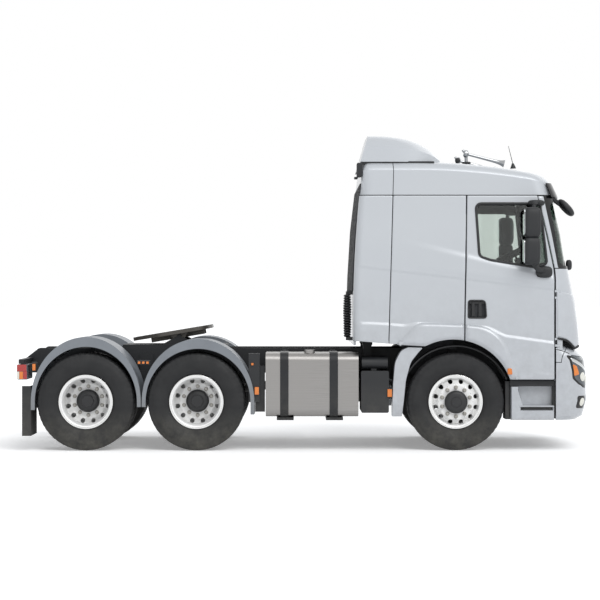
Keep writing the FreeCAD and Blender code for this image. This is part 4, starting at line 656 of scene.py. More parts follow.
shine = add_node(tree, "ShaderNodeMapRange", {"From Min": 0.3, "From Max": 0.7, "To Min": 0.30,
                                              "To Max": 0.40},
                 {"Value": cloud})
shader = add_node(tree, "ShaderNodeBsdfPrincipled", {"Metallic": 1.0, "Anisotropic": 0.5},
                  {"Base Color": tone, "Roughness": shine.outputs["Result"]})
relief = add_node(tree, "ShaderNodeBump", {"Strength": 0.08, "Distance": 0.0008}, {"Height": brush})
tree.links.new(relief.outputs["Normal"], shader.inputs["Normal"])
tree.links.new(shader.outputs[0], out.inputs["Surface"])
dress(material, "fuel_tank")

# Fifth wheel: a cast steel table, planed on top and greased, which rocks on the two feet of its base.
# One finish serves for the whole casting.
cast_steel = finish_surface("greased_cast_steel", "#4d4a46", "#5d5a55", 120.0, (0.35, 0.55), 6.0, 0.15, 0.6)
dress(cast_steel, "fifth_wheel_plate")

# Seat cloth and steering wheel: grey woven cloth, sewn and drawn over the seats' foam, and black foam
# moulded on the steering wheel's steel core.
seat_cloth = finish_surface("woven_grey_seat_cloth", "#3b3e43", "#474a50", 6.0, (0.85, 0.95), 2.0, 0.3)
dress(seat_cloth, "seats")
dress(moulded_rubber, "steering_wheel")

# Tyres: 13R22.5 class radials, black rubber with ribs and shoulder lugs moulded in, and rings
# moulded in the sidewalls; the tread's grooves are 13 mm deep.
tyre_rubber = finish_surface("tyre_rubber", "#111214", "#17181a", 70.0, (0.62, 0.78), 4.0, 0.08,
                             dust="#58564f", dust_height=0.5)
tyre_radius = 0.562
tyre_half = 0.156
rim_flange = 0.312
bead = 0.104
axle_x = {"front": nose - 1.600, "mid": nose - 4.590, "rear": nose - 5.865}
front_y = 1.045
rear_y = 1.079
twin_gap = 0.354


def arc_through(a, b, c, count):
    """Evenly spaced points of the circle through a, b and c, from a to c by way of b."""
    (ax, ay), (bx, by), (cx, cy) = a, b, c
    d = 2 * (ax * (by - cy) + bx * (cy - ay) + cx * (ay - by))
    ux = ((ax**2 + ay**2) * (by - cy) + (bx**2 + by**2) * (cy - ay) + (cx**2 + cy**2) * (ay - by)) / d
    uy = ((ax**2 + ay**2) * (cx - bx) + (bx**2 + by**2) * (ax - cx) + (cx**2 + cy**2) * (bx - ax)) / d
    start = math.atan2(ay - uy, ax - ux)
    middle = (math.atan2(by - uy, bx - ux) - start) % (2 * math.pi)
    end = (math.atan2(cy - uy, cx - ux) - start) % (2 * math.pi)
    if middle > end:
        end -= 2 * math.pi
    t = start + np.linspace(0, end, count)
    return np.column_stack([ux + math.hypot(ax - ux, ay - uy) * np.cos(t),
                            uy + math.hypot(ax - ux, ay - uy) * np.sin(t)])


def round_axle(radius, across, angle, centre):
    """Points at radius and at a distance across from a wheel's centre, turned by angle round the
    axle line."""
    x, y, z = centre
    return np.stack([x + radius * np.cos(angle), y + across + 0 * angle, z + radius * np.sin(angle)], -1)


def tyre_form(centre, pitches=54, steps=6):
    """The tyre's section as (radius, across) turned round its axle; in the tread, depths are taken off the
    radius at four wandering grooves and, one third of each pitch, at the shoulders."""
    wall = np.concatenate([[(rim_flange + 0.006, bead - 0.012), (rim_flange + 0.008, bead + 0.009)],
                           arc_through((0.322, 0.116), (0.435, tyre_half), (0.524, 0.140), 11)[1:],
                           arc_through((0.524, 0.140), (0.552, 0.131), (0.5585, 0.110), 4)[1:]])
    ridge = np.zeros(len(wall))
    ridge[[3, 5, 9]] = 0.0022
    wall[:, 1] += ridge
    cuts = np.array([0.080, 0.028])
    tread = np.concatenate([[c + 0.0065, c + 0.0045, c - 0.0045, c - 0.0065] for c in cuts])
    side = np.concatenate([wall, np.column_stack([tyre_radius - 0.2 * tread**2, tread])])
    section = np.concatenate([side, side[::-1] * (1, -1)])
    depth = np.zeros(len(section))
    tread_at = len(wall) + np.array([1, 2, 5, 6])
    depth[tread_at] = 0.013
    depth[len(section) - 1 - tread_at] = 0.013
    shoulder = np.abs(section[:, 1]) > 0.0865
    shoulder &= (section[:, 0] > 0.50)
    angle = np.arange(pitches * steps) * 2 * np.pi / (pitches * steps)
    phase = np.arange(pitches * steps) % steps
    lug = np.where(phase >= steps - 2, 0.0, 1.0)[:, None]
    notch = (1 - lug) * shoulder[None] * 0.005
    wander = np.where((np.arange(pitches * steps) // (steps // 2)) % 2 == 0, 1, -1)[:, None] * 0.0022
    in_tread = (np.abs(section[:, 1]) < 0.09) & (section[:, 0] > 0.54)
    radius = section[None, :, 0] - depth[None] - notch
    across = section[None, :, 1] + wander * in_tread[None]
    points = round_axle(radius, across, angle[:, None] + 0 * radius, centre)
    return points.reshape(-1, 3), grid_faces(len(angle), len(section), close_rows=True)


def joined_meshes(parts):
    """Several (points, faces) as one, each with its faces counted on."""
    points = []
    faces = []
    count = 0
    for p, f in parts:
        points.append(np.asarray(p, float).reshape(-1, 3))
        faces += [[int(i) + count for i in face] for face in f]
        count += len(points[-1])
    return np.concatenate(points), faces


def outward_faces(points, faces):
    """The same faces, turned round together if the volume that they enclose comes out negative."""
    p = np.asarray(points, float)
    f = np.array([list(face)[:3] for face in faces])
    middle = p.mean(0)
    a, b, c = (p[f[:, k]] - middle for k in range(3))
    if (a * np.cross(b, c)).sum() < 0:
        return [list(face)[::-1] for face in faces]
    return faces


for side, sign in (("left", 1), ("right", -1)):
    tyre = tyre_form((axle_x["front"], sign * front_y, tyre_radius))
    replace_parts(mesh_piece("tyre_tread_front_" + side, tyre[0], outward_faces(*tyre), "front_wheel_" + side,
                           tyre_rubber, "tyre"), "tyre_front_" + side)
    for axle in ("mid", "rear"):
        pair = joined_meshes([tyre_form((axle_x[axle], sign * rear_y, tyre_radius)),
                              tyre_form((axle_x[axle], sign * (rear_y - twin_gap), tyre_radius), 40, 6)])
        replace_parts(mesh_piece("tyre_treads_%s_%s" % (axle, side), pair[0], outward_faces(*pair),
                               "%s_wheels_%s" % (axle, side), tyre_rubber, "tyre"),
                               "tyres_%s_%s" % (axle, side))

# Wheels: forged aluminium discs with twelve hand holes, the flange polished and the disc satin, held
# by ten nuts on a 335 mm circle round a black hub.
satin_alloy = finish_surface("satin_forged_aluminium", "#e8e8e7", "#efefee", 60.0, (0.40, 0.50), 2.0, 0.04,
                             0.25)
polished_alloy = finish_surface("polished_aluminium_flange", "#d9d9d8", "#e4e4e3", 60.0, (0.16, 0.24), 2.0,
                                0.02, 1.0)
hub_black = finish_surface("hub_black_paint", "#17181a", "#1f2022", 60.0, (0.35, 0.5), 3.0, 0.06)
nut_steel = finish_surface("zinc_plated_nut", "#8f8d88", "#a5a39e", 20.0, (0.3, 0.42), 1.0, 0.05, 0.9)
flange_start = 0.2845


def turned_form(profile, centre, steps=96):
    """A profile of (radius, across) points turned round the wheel's axle line."""
    profile = np.asarray(profile, float)
    angle = np.arange(steps) * 2 * np.pi / steps
    points = round_axle(profile[None, :, 0], profile[None, :, 1], angle[:, None] + 0 * profile[None, :, 0],
                        centre)
    return points.reshape(-1, 3), grid_faces(steps, len(profile), close_rows=True)


def holed_ring(centre, sign, inner, outer, depth_at, holes=12, circle=0.238, hole=0.026, wall=0.014):
    """A ring of the disc with its hand holes: each sector is a net between the hole's circle and the sector's
    own outline, a rectangle of angle by radius, and the hole's edge turns in through the wall."""
    turn = np.linspace(0, 2 * np.pi, 48, endpoint=False)
    half = np.pi / holes
    c, s = np.cos(turn), np.sin(turn)
    reach = np.minimum(half / np.maximum(np.abs(c), 1e-9) * circle,
                       np.where(s > 0, outer - circle, circle - inner) / np.maximum(np.abs(s), 1e-9))
    t = np.array([0.0, 0.0, 0.0, 0.10, 0.35, 0.65, 1.0])
    down = np.array([wall, 0.004, 0.001, 0.0, 0.0, 0.0, 0.0])
    grow = np.array([0.0, 0.0, 0.0015, 0.0, 0.0, 0.0, 0.0])
    r = hole + grow[:, None] + t[:, None] * (reach[None] - hole)
    radius = circle + r * s[None]
    angle = r * c[None] / circle
    sector = np.arange(holes)[:, None, None] * 2 * half
    across = sign * (depth_at(radius) - down[:, None])
    points = round_axle(radius[None] + 0 * sector, across[None] + 0 * sector, angle[None] + sector + half,
                        centre)
    net = grid_faces(7, 48, close_columns=True)
    faces = (np.arange(holes)[:, None, None] * 7 * 48 + net[None]).reshape(-1, 4)
    return points.reshape(-1, 3), faces


def wheel_nuts(centre, sign, seat, count=10, circle=0.1675):
    """Ten hexagon nuts with a round collar and the stud's end standing out, all from one turned section."""
    angle = np.arange(12) * np.pi / 6
    hexagon = 1 / np.cos((angle % (np.pi / 3)) - np.pi / 6) * np.cos(np.pi / 6)
    rings = [(0.024, 0.0, 0), (0.024, 0.005, 0), (0.0195, 0.007, 1), (0.0195, 0.026, 1), (0.017, 0.029, 0),
             (0.011, 0.029, 0), (0.011, 0.040, 0), (0.0, 0.041, 0)]
    r = np.array([[a * (hexagon if h else np.ones(12))] for a, b, h in rings])[:, 0]
    up = np.array([b for a, b, h in rings])[:, None] + 0 * r
    place = (np.arange(count) + 0.5) * 2 * np.pi / count
    x = centre[0] + circle * np.cos(place)[:, None, None] + r * np.cos(angle)
    z = centre[2] + circle * np.sin(place)[:, None, None] + r * np.sin(angle)
    y = centre[1] + sign * (seat + up)[None] + 0 * x
    net = grid_faces(len(rings), 12, close_columns=True)
    faces = (np.arange(count)[:, None, None] * len(rings) * 12 + net[None]).reshape(-1, 4)
    return np.stack([x, y, z], -1).reshape(-1, 3), faces


def rim_shell():
    """The drop-centre barrel with its two flanges, turned."""
    w = 0.118
    return [(0.286, -w + 0.014), (0.303, -w + 0.009), (0.310, -w + 0.004), (rim_flange, -w - 0.001),
            (0.306, -w - 0.003), (0.290, -w + 0.001), (0.277, -w + 0.006), (0.262, -w + 0.040),
            (0.258, -w + 0.05),
            (0.258, w - 0.05), (0.262, w - 0.040), (0.277, w - 0.006), (0.290, w - 0.001), (0.306, w + 0.003),
            (rim_flange, w + 0.001), (0.310, w - 0.004), (0.303, w - 0.009), (0.286, w - 0.014),
            (0.268, w - 0.045), (0.268, -w + 0.045), (0.286, -w + 0.014)]


def cone(start_r, start_d, end_r, end_d):
    """Depth against radius: straight from (start_r, start_d) to (end_r, end_d), level beyond, and eased
    at the bend by 6 percent of a bell curve."""
    def depth_at(r):
        t = np.clip((start_r - r) / (start_r - end_r), 0, 1)
        t = t - 0.06 * np.exp(-((t - 1) / 0.18) ** 2)
        return start_d + (end_d - start_d) * t
    return depth_at


def wheel_parts(centre, sign, rim_d, face_d, hub):
    """One wheel: satin disc and barrel, polished flange, nuts and hub, each as (points, faces, finish)."""
    depth_at = cone(0.274, rim_d, 0.205, face_d)
    r = np.linspace(0.060, 0.196, 10)
    inner = turned_form(np.column_stack([r, sign * depth_at(r)]), centre)
    rows = holed_ring(centre, sign, 0.196, 0.274, depth_at)
    barrel = turned_form(rim_shell(), centre)
    hub_form = turned_form(np.array(hub) * (1, sign), centre)
    return joined_meshes([inner, rows, barrel]), wheel_nuts(centre, sign, face_d), hub_form


for side, sign in (("left", 1), ("right", -1)):
    for axle in ("front", "mid", "rear"):
        y = sign * (front_y if axle == "front" else rear_y)
        centre = (axle_x[axle], y, tyre_radius)
        if axle == "front":
            hub = [(0.120, 0.03), (0.120, 0.158), (0.132, 0.160), (0.132, 0.186), (0.122, 0.192),
                   (0.112, 0.208),
                   (0.100, 0.212), (0.060, 0.212), (0.056, 0.218), (0.0, 0.219)]
            rim_d, face_d, body = 0.040, 0.150, "front_wheel_" + side
        else:
            hub = [(0.205, -0.34), (0.205, -0.20), (0.132, -0.196), (0.132, -0.104), (0.124, -0.092),
                   (0.110, -0.080), (0.072, -0.076), (0.068, -0.062), (0.0, -0.060)]
            rim_d, face_d, body = -0.100, -0.176, "%s_wheels_%s" % (axle, side)
        metal, nuts, hub_form = wheel_parts(centre, sign, rim_d, face_d, hub)
        parts = [metal]
        if axle != "front":
            back = (axle_x[axle], sign * (rear_y - twin_gap), tyre_radius)
            parts.append(turned_form(rim_shell(), back))
            parts.append(turned_form([(0.274, sign * 0.100), (0.205, sign * 0.176), (0.060, sign * 0.176)],
                                     back))
        rim = joined_meshes(parts)
        node = "rim_front_" + side if axle == "front" else "rims_%s_%s" % (axle, side)
        disc = mesh_piece("wheel_disc_%s_%s" % (axle, side), *rim, body, satin_alloy, "wheel_rim")
        disc.data.materials.append(polished_alloy)
        middles = np.empty(len(disc.data.polygons) * 3)
        disc.data.polygons.foreach_get("center", middles)
        reach = np.hypot(middles[0::3] - centre[0], middles[2::3] - centre[2])
        disc.data.polygons.foreach_set("material_index", (reach > flange_start).astype(int))
        mesh_piece("wheel_nuts_%s_%s" % (axle, side), *nuts, body, nut_steel, "wheel_rim")
        mesh_piece("wheel_hub_%s_%s" % (axle, side), *hub_form, body, hub_black, "frame_paint")
        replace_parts(disc, node)


# Rear wall pad: a moulded black plastic panel with upright ribs, clipped to the cab's painted back wall,
# and a small plastic work lamp box above it on the right.
def prism(outline, low, high, axis="y"):
    """An outline carried straight along an axis from low to high: (x, z) along y, (y, z) along x and
    (x, y) along z."""
    loop = turned_ccw(np.asarray(outline, float))
    n = len(loop)
    a, b, c = {"x": (1, 2, 0), "y": (0, 2, 1), "z": (0, 1, 2)}[axis]
    points = np.zeros((2 * n, 3))
    points[:, a] = np.tile(loop[:, 0], 2)
    points[:, b] = np.tile(loop[:, 1], 2)
    points[:, c] = np.repeat([low, high], n)
    i = np.arange(n)
    j = (i + 1) % n
    faces = np.stack([i, j, n + j, n + i], -1).tolist() + [i[::-1].tolist(), (n + i).tolist()]
    if axis == "y":
        faces = [f[::-1] for f in faces]
    return points, faces


def rect(a0, a1, b0, b1):
    """A rectangle's corners."""
    return np.array([(a0, b0), (a1, b0), (a1, b1), (a0, b1)], float)


def bevelled(piece, width, steps=2):
    """Rounds a piece's sharp edges."""
    bevel = piece.modifiers.new("edge", "BEVEL")
    bevel.width = width
    bevel.segments = steps
    bevel.limit_method = "ANGLE"
    bevel.harden_normals = True
    return piece


pad_outline = rounded([(cab_back - 0.018, 1.838, 0.012), (cab_back - 0.012, 2.023, 0.9),
                       (cab_back + 0.022, 2.598, 0.9),
                       (cab_back + 0.078, 3.083, 0.012), (cab_back + 0.09, 3.083, 0.0),
                       (cab_back + 0.03, 1.838, 0.0)])
ribs = [prism(pad_outline - (0.004, 0), y - 0.03, y + 0.03) for y in np.linspace(-1.02, 1.02, 13)]
wall_pad = joined_meshes([prism(pad_outline, -1.152, 1.152)] + ribs)
pad_piece = bevelled(mesh_piece("rear_wall_pad", *wall_pad, "cab", box_plastic, "black_plastic"), 0.006)
wall_z = np.array([1.215, 1.68, 2.095, 2.50, 2.935])
wall_x = cab_back + at_height(wall_z, cab_lean)
wall = prism(np.concatenate([np.column_stack([wall_x + 0.002, wall_z]),
                             np.column_stack([wall_x + 0.030, wall_z])[::-1]]),
             -1.17, 1.17)
mesh_piece("rear_wall_panel", *wall, "cab", silver_paint, "cab_paint")
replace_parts(pad_piece, "cab_rear")
lamp_box = joined_meshes([
    prism(rounded([(0.590, 3.155, 0.012), (0.590, 3.32, 0.012), (0.655, 3.32, 0.01), (0.655, 3.165, 0.01)]),
          -1.16, -0.98),
    prism(rect(0.560, 0.60, 3.135, 3.160), -1.12, -1.02)])
bevelled(mesh_piece("rear_work_lamp_box", *lamp_box, "cab", box_plastic, "black_plastic"), 0.004)

# Door pulls: two upright black bars in the pocket, moulded with a cross bar at their top. A rubber frame
# lines the pocket's edge in the door's skin.
bar_forms = [rounded([(x, 1.545, 0.008), (x + 0.004, 1.715, 0.008), (x + 0.036, 1.715, 0.008),
                      (x + 0.040, 1.545, 0.008)]) for x in (1.905, 1.985)]
head_form = rounded([(1.880, 1.690, 0.01), (1.880, 1.722, 0.01), (2.055, 1.722, 0.01), (2.055, 1.690, 0.01)])
bars = joined_meshes([prism(form, 1.212, 1.246) for form in bar_forms] + [prism(head_form, 1.205, 1.240)])
for pull in each_side("door_pull", bars, "door", moulded_rubber, "black_plastic").values():
    bevelled(pull, 0.004)
pocket_net, pocket_faces = ring_sweep(turned_ccw(spaced(handle_hole, 0.015)), round_section(0.014, 0.012))
each_side("pull_pocket_frame", (skin_points(pocket_net, 0.008), pocket_faces), "door", moulded_rubber,
          "black_plastic")

# Front mudguards: a black plastic guard bent over the wheel, and behind it a silver moulded leg that ends
# the arch. Both are bolted to the frame, not to the cab.
def both_sides(shape):
    """A piece and its mirror image, as one."""
    return joined_meshes([shape, other_side(*shape)])


leg = rounded([(0.988, 0.396, 0.01), (1.002, 0.760, 0.6), (1.025, 1.023, 0.3), (1.095, 1.155, 0.12),
               (1.178, 1.196, 0.02),
               (1.352, 1.190, 0.01), (1.301, 1.138, 0.10), (1.209, 1.023, 0.25), (1.152, 0.816, 0.5),
               (1.129, 0.586, 0.5),
               (1.106, 0.396, 0.01)])
legs = both_sides(prism(leg, -1.237, -1.05))
bevelled(mesh_piece("front_guard_legs", *legs, "chassis", silver_paint, "cab_paint"), 0.010, 3)
turn = np.radians(np.linspace(24, 172, 40))
guard = np.concatenate([np.column_stack([axle_x["front"] + r * np.cos(t), tyre_radius + r * np.sin(t)])
                        for r, t in ((0.650, turn), (0.636, turn[::-1]))])
guards = both_sides(prism(guard, -1.168, -0.85))
guard_piece = mesh_piece("front_guard_rings", *guards, "chassis", flap_rubber, "flap_rubber")
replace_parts(guard_piece, "front_mudguards")

# Entry steps: a silver moulded box below each door, with a foot pocket, a slot for the tread and a sloping
# rear wall. It is bolted to the frame; black blocks in the gaps behind it paint the shade there, and a black
# strip lies in the tread's slot.
step_x = np.linspace(2.364, 2.854, 90)
step_z = np.linspace(0.356, 0.738, 80)
a, b = np.meshgrid(step_x, step_z, indexing="ij")
edge_x = 2.452 + 0.05 * step_up(0.72 - b, 0.0, 0.2)
deep = 0.15 * step_up(a, edge_x - 0.012, edge_x + 0.008) * step_up(b, 0.523, 0.529)
shelf = 0.045 * step_up(a, 2.468, 2.476) * (1 - step_up(a, 2.838, 2.846)) * step_up(b, 0.466, 0.470)
shelf = shelf * (1 - step_up(b, 0.500, 0.506))
nosing = -0.006 * step_up(a, 2.452, 2.462) * step_up(b, 0.504, 0.508) * (1 - step_up(b, 0.520, 0.526))
roll = 0.010 * ((1 - step_up(a, 2.364, 2.374)) ** 2 + (1 - step_up(b, 0.356, 0.366)) ** 2)
face = np.stack([a, 1.237 - deep - shelf - nosing - roll, b], -1)
back = face[[0, -1]] - (0, 0.30, 0)
skin = np.concatenate([back[:1], face, back[1:]])
low = skin[:, :1] - (0, 0.30, 0)
high = skin[:, -1:] - (0, 0.30, 0)
skin = np.concatenate([low, skin, high], 1)
steps = both_sides((skin.reshape(-1, 3), [f[::-1] for f in grid_faces(skin.shape[0],
                                                                      skin.shape[1]).tolist()]))
step_piece = mesh_piece("entry_step_boxes", *steps, "chassis", silver_paint, "cab_paint", 35)
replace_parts(step_piece, "entry_steps")
# Black blocks that paint the shade in the gaps round the step box, and a black strip in its tread slot.
gaps = both_sides(joined_meshes([prism(rect(2.352, 2.86, 0.742, 0.812), -1.20, -0.92),
                                 prism(rect(2.30, 2.352, 0.36, 0.80), -1.17, -0.90),
                                 prism(rect(2.846, 2.884, 0.37, 0.80), -1.19, -1.05),
                                 prism(rect(2.476, 2.838, 0.470, 0.502), -1.205, -1.15)]))
bevelled(mesh_piece("step_gap_shade_and_tread", *gaps, "chassis", box_plastic, "black_plastic"), 0.004)

# Mirrors: two black plastic housings, one above the other, with silvered glass facing back. Two arms
# carry them from the door's top and waist, so they swing with the door.
def pod(low, high, power=4.0, rows=28, columns=48, lean=(0.0, 0.0)):
    """A rounded box: a sphere's points with each coordinate drawn out to the power 2 / power, and leaned
    by height."""
    u = np.linspace(-np.pi / 2, np.pi / 2, rows)[:, None]
    v = np.linspace(0, 2 * np.pi, columns, endpoint=False)[None]
    unit = np.stack([np.cos(u) * np.cos(v), np.cos(u) * np.sin(v), np.sin(u) + 0 * v], -1)
    unit = np.sign(unit) * np.abs(unit) ** (2 / power)
    low, high = np.asarray(low, float), np.asarray(high, float)
    points = (low + high) / 2 + unit * (high - low) / 2
    points[..., 0] += lean[0] * unit[..., 2]
    points[..., 1] += lean[1] * unit[..., 2]
    return points.reshape(-1, 3), [f[::-1] for f in grid_faces(rows, columns, close_columns=True).tolist()]


def tube(path, radius, count=14):
    """A round tube along a path of (x, y, z) points; radius is one number or one for each point."""
    p = np.asarray(path, float)
    way = np.gradient(p, axis=0)
    way /= np.linalg.norm(way, axis=1, keepdims=True)
    helper = np.where(np.abs(way[:, 2:]) > 0.9, [[1.0, 0, 0]], [[0, 0, 1.0]])
    side = np.cross(way, helper)
    side /= np.linalg.norm(side, axis=1, keepdims=True)
    up = np.cross(side, way)
    t = np.linspace(0, 2 * np.pi, count, endpoint=False)
    r = np.broadcast_to(np.asarray(radius, float), (len(p),))[:, None, None]
    points = p[:, None] + r * (np.cos(t)[None, :, None] * side[:, None] + np.sin(t)[None, :, None] * up[:,
                                                                                                        None])
    faces = grid_faces(len(p), count, close_columns=True).tolist()
    ends = [np.arange(count).tolist(), ((len(p) - 1) * count + np.arange(count))[::-1].tolist()]
    return points.reshape(-1, 3), outward_faces(points.reshape(-1, 3), faces + ends)


def bent(points, steps=8):
    """A smooth line through given points (Catmull-Rom)."""
    p = np.asarray(points, float)
    p = np.vstack([2 * p[0] - p[1], p, 2 * p[-1] - p[-2]])
    t = np.linspace(0, 1, steps, endpoint=False)[:, None]
    runs = [0.5 * (2 * b + (c - a) * t + (2 * a - 5 * b + 4 * c - d) * t**2 + (3 * b - a - 3 * c + d) * t**3)
            for a, b, c, d in zip(p[:-3], p[1:-2], p[2:-1], p[3:])]
    return np.concatenate(runs + [p[-2:-1]])


mirror_glass = finish_surface("silvered_mirror_glass", "#cfd4d6", "#d6dadc", 200.0, (0.02, 0.05), metal=1.0)
housings = joined_meshes([
    pod((2.487, 1.302, 2.440), (2.680, 1.518, 2.796), 4.5),
    pod((2.484, 1.306, 2.132), (2.672, 1.514, 2.458), 4.5),
    tube(bent([(2.60, 1.41, 2.78), (2.612, 1.39, 2.835), (2.66, 1.32, 2.862), (2.72, 1.22, 2.845)]), 0.024),
    pod((2.55, 1.22, 2.815), (2.74, 1.34, 2.885), 3.0),
    tube(bent([(2.60, 1.41, 2.16), (2.64, 1.38, 2.10), (2.72, 1.31, 2.065), (2.78, 1.235, 2.055)]), 0.030),
    pod((2.64, 1.225, 1.99), (2.83, 1.33, 2.125), 3.0)])
glasses = joined_meshes([pod((2.4845, 1.326, 2.475), (2.4945, 1.494, 2.776), 6.0, 12, 32),
                         pod((2.4815, 1.330, 2.155), (2.492, 1.490, 2.424), 6.0, 12, 32)])
for side, case in each_side("mirror_housings", housings, "door", box_plastic, "black_plastic").items():
    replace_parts(case, "mirror_" + side)
each_side("mirror_glasses", glasses, "door", mirror_glass, "window_glass")

# Roof horns: two chromed brass trumpets with round drivers, bolted through the roof on black feet, and a
# whip aerial with a rubber foot.
chrome = finish_surface("polished_chrome_plate", "#a2a4a6", "#aaacae", 80.0, (0.08, 0.14), 2.0, 0.01, 1.0)
horn_line = np.linspace(0, 1, 30)[:, None]
for_horn = []
horn_y = (-0.56, 0.56)
for y in horn_y:
    start, end = np.array([1.925, y, 3.462]), np.array([2.352, y, 3.352])
    line = start + (end - start) * horn_line
    flare_out = 0.016 + 0.006 * horn_line[:, 0] + 0.024 * horn_line[:, 0] ** 9
    for_horn += [tube(line, flare_out, 24), tube([(1.872, y, 3.474), (1.888, y, 3.470), (1.912, y, 3.464),
                                                  (1.930, y, 3.460)],
                                                 [0.030, 0.046, 0.046, 0.024], 28),
                 tube([(1.90, y, 3.462), (1.905, y, 3.36)], 0.020),
                 tube([(1.86, y, 3.515), (1.895, y, 3.47)], 0.016)]
horns = mesh_piece("chromed_trumpet_horns", *joined_meshes(for_horn), "cab", chrome, "chromed_rod")
feet = joined_meshes([pod((1.855, y - 0.04, 3.345), (1.955, y + 0.04, 3.375), 3.5) for y in horn_y]
                     + [pod((1.77, y - 0.03, 3.36), (1.83, y + 0.03, 3.42), 3.0) for y in horn_y]
                     + [tube([(2.452, -0.62, 3.29), (2.450, -0.62, 3.335), (2.447, -0.62, 3.352)],
                             [0.036, 0.018, 0.010]),
                        tube([(2.447, -0.62, 3.35), (2.396, -0.62, 3.556)], [0.0045, 0.0025], 8)])
mesh_piece("horn_feet_and_aerial", *feet, "cab", moulded_rubber, "black_plastic")
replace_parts(horns, "air_horns")

# Sun visor and front mirror: a smoked black visor over the windscreen on brackets, and an oval mirror
# that looks down the front, on an arm from the roof's right corner.
visor_d, visor_z = np.meshgrid(np.linspace(0.16, 2.0, 90), np.linspace(0, 1, 12), indexing="ij")
height = 2.915 + 0.165 * visor_z
outer_face = cab_point(visor_d, height, -0.048 + 0.024 * visor_z)
inner_face = cab_point(visor_d, height, -0.040 + 0.024 * visor_z)
half_net = np.concatenate([outer_face, inner_face[:, ::-1]], 1)
half_net = half_net[half_net[:, 0, 1] > -0.001]
mirrored_net = half_net[::-1] * (1, -1, 1)
net = np.concatenate([half_net, mirrored_net])
visor = (net.reshape(-1, 3), grid_faces(net.shape[0], net.shape[1], close_columns=True))
visor_piece = mesh_piece("smoked_sun_visor", visor[0], outward_faces(*visor), "cab", gloss_black,
                         "black_plastic", 50)


def lean_out(shape, turn, centre):
    """Turns points about the Y line through centre by an angle."""
    p = shape[0] - centre
    c, s = math.cos(turn), math.sin(turn)
    return np.stack([p[:, 0] * c + p[:, 2] * s, p[:, 1], p[:, 2] * c - p[:, 0] * s], -1) + centre, shape[1]


oval_at = np.array([3.022, -0.98, 2.806])
oval = lean_out(pod(oval_at - (0.125, 0.13, 0.042), oval_at + (0.125, 0.13, 0.052), 2.4), math.radians(47),
                oval_at)
arm = tube(bent([(2.690, -1.125, 2.995), (2.78, -1.11, 2.970), (2.87, -1.06, 2.905), (2.93, -1.02, 2.862),
                 (2.985, -1.0, 2.835)]), 0.027)
brackets = [pod((2.80, y - 0.035, 2.95), (2.90, y + 0.035, 3.03), 3.0) for y in (-0.35, 0.35)]
corners = both_sides(joined_meshes([pod((3.035, 0.86, 2.085), (3.105, 0.95, 2.205), 3.0)]))
mesh_piece("front_mirror", *joined_meshes([oval, arm, corners] + brackets), "cab", box_plastic,
           "black_plastic")
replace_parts(visor_piece, "visor_and_mirror")

# Roof: a deep pressed panel whose sides turn over a soft crease into a gently crowned top that falls
# to the front. Its rear corners are separate pressings, so the seam behind the door runs up over it.
def roof_edge(x):
    """The height where the roof's side has turned level: flat, then falling as the square of the distance."""
    return 3.337 - 0.0665 * np.maximum(x - 1.30, 0) ** 2


def roof_point(d, v):
    """The roof from its seam at v = 0 up the wall to the crease at 1, over an arc of 70 degrees to 2, then
    straight to a middle line at 3 while it rises by a crown of 48 mm as 1 - (1 - w)^2."""
    arc_radius = 0.15
    first = math.radians(20)
    x_low, y_low = cab_base(d, np.full_like(d, 3.1))
    top = roof_edge(x_low)
    crease = top - arc_radius * (1 - math.sin(first))
    phi = first + np.clip(v - 1, 0, 1) * (np.pi / 2 - first)
    z = np.where(v < 1, roof_seam + 0.004 + (crease - roof_seam - 0.004) * np.clip(v, 0, 1),
                 top - arc_radius * (1 - np.sin(phi)))
    inwards = np.where(v < 1, 0.0, arc_radius * (math.cos(first) - np.cos(phi)))
    wall = off_surface(cab_skin, d, z, 0 * z)
    level = np.stack([x_low, y_low, 0 * x_low], -1)
    middle = np.stack([np.clip(x_low, 1.0, 2.25), 0 * x_low, 0 * x_low], -1)
    way = middle - level
    way /= np.linalg.norm(way, axis=-1, keepdims=True) + 1e-9
    edge = wall + way * inwards[..., None]
    w = np.clip(v - 2, 0, 1)
    done = edge + (np.stack([middle[..., 0], middle[..., 1], edge[..., 2]], -1) - edge) * w[..., None]
    done[..., 2] += 0.048 * (1 - (1 - w) ** 2)
    return done


front_end = front_length(1.20, 0.222, cab_bow)
rear_end = cab_back + 0.10 + rear_corner - corner_start(3.1)
d_run = np.concatenate([np.linspace(rear_end - rear_corner * np.pi / 2 - 1.16, rear_end - 0.13, 30),
                        np.linspace(rear_end - 0.12, rear_end + 0.05, 14),
                        np.linspace(rear_end + 0.1, -0.05, 50),
                        np.linspace(-0.02, front_end, 60)])
v_run = np.concatenate([[0, 0.5, 0.96, 1.0], np.linspace(1.04, 2, 12), 2 + np.linspace(0.08, 1, 12)])
d_net, v_net = np.meshgrid(d_run, v_run, indexing="ij")
roof_net = roof_point(d_net, v_net)
roof_net[..., 1] = np.maximum(roof_net[..., 1], 0)
hem_row = roof_net[:, :1] * (1, 0.985, 1)
roof_net = np.concatenate([hem_row, roof_net], 1)
roof_half = (roof_net.reshape(-1, 3), grid_faces(*roof_net.shape[:2]).tolist())
roof_half = (roof_half[0], outward_faces(*roof_half))
roof_piece = mesh_piece("cab_roof_panel", *both_sides(roof_half), "cab", silver_paint, "cab_paint")
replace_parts(roof_piece, "cab_roof")

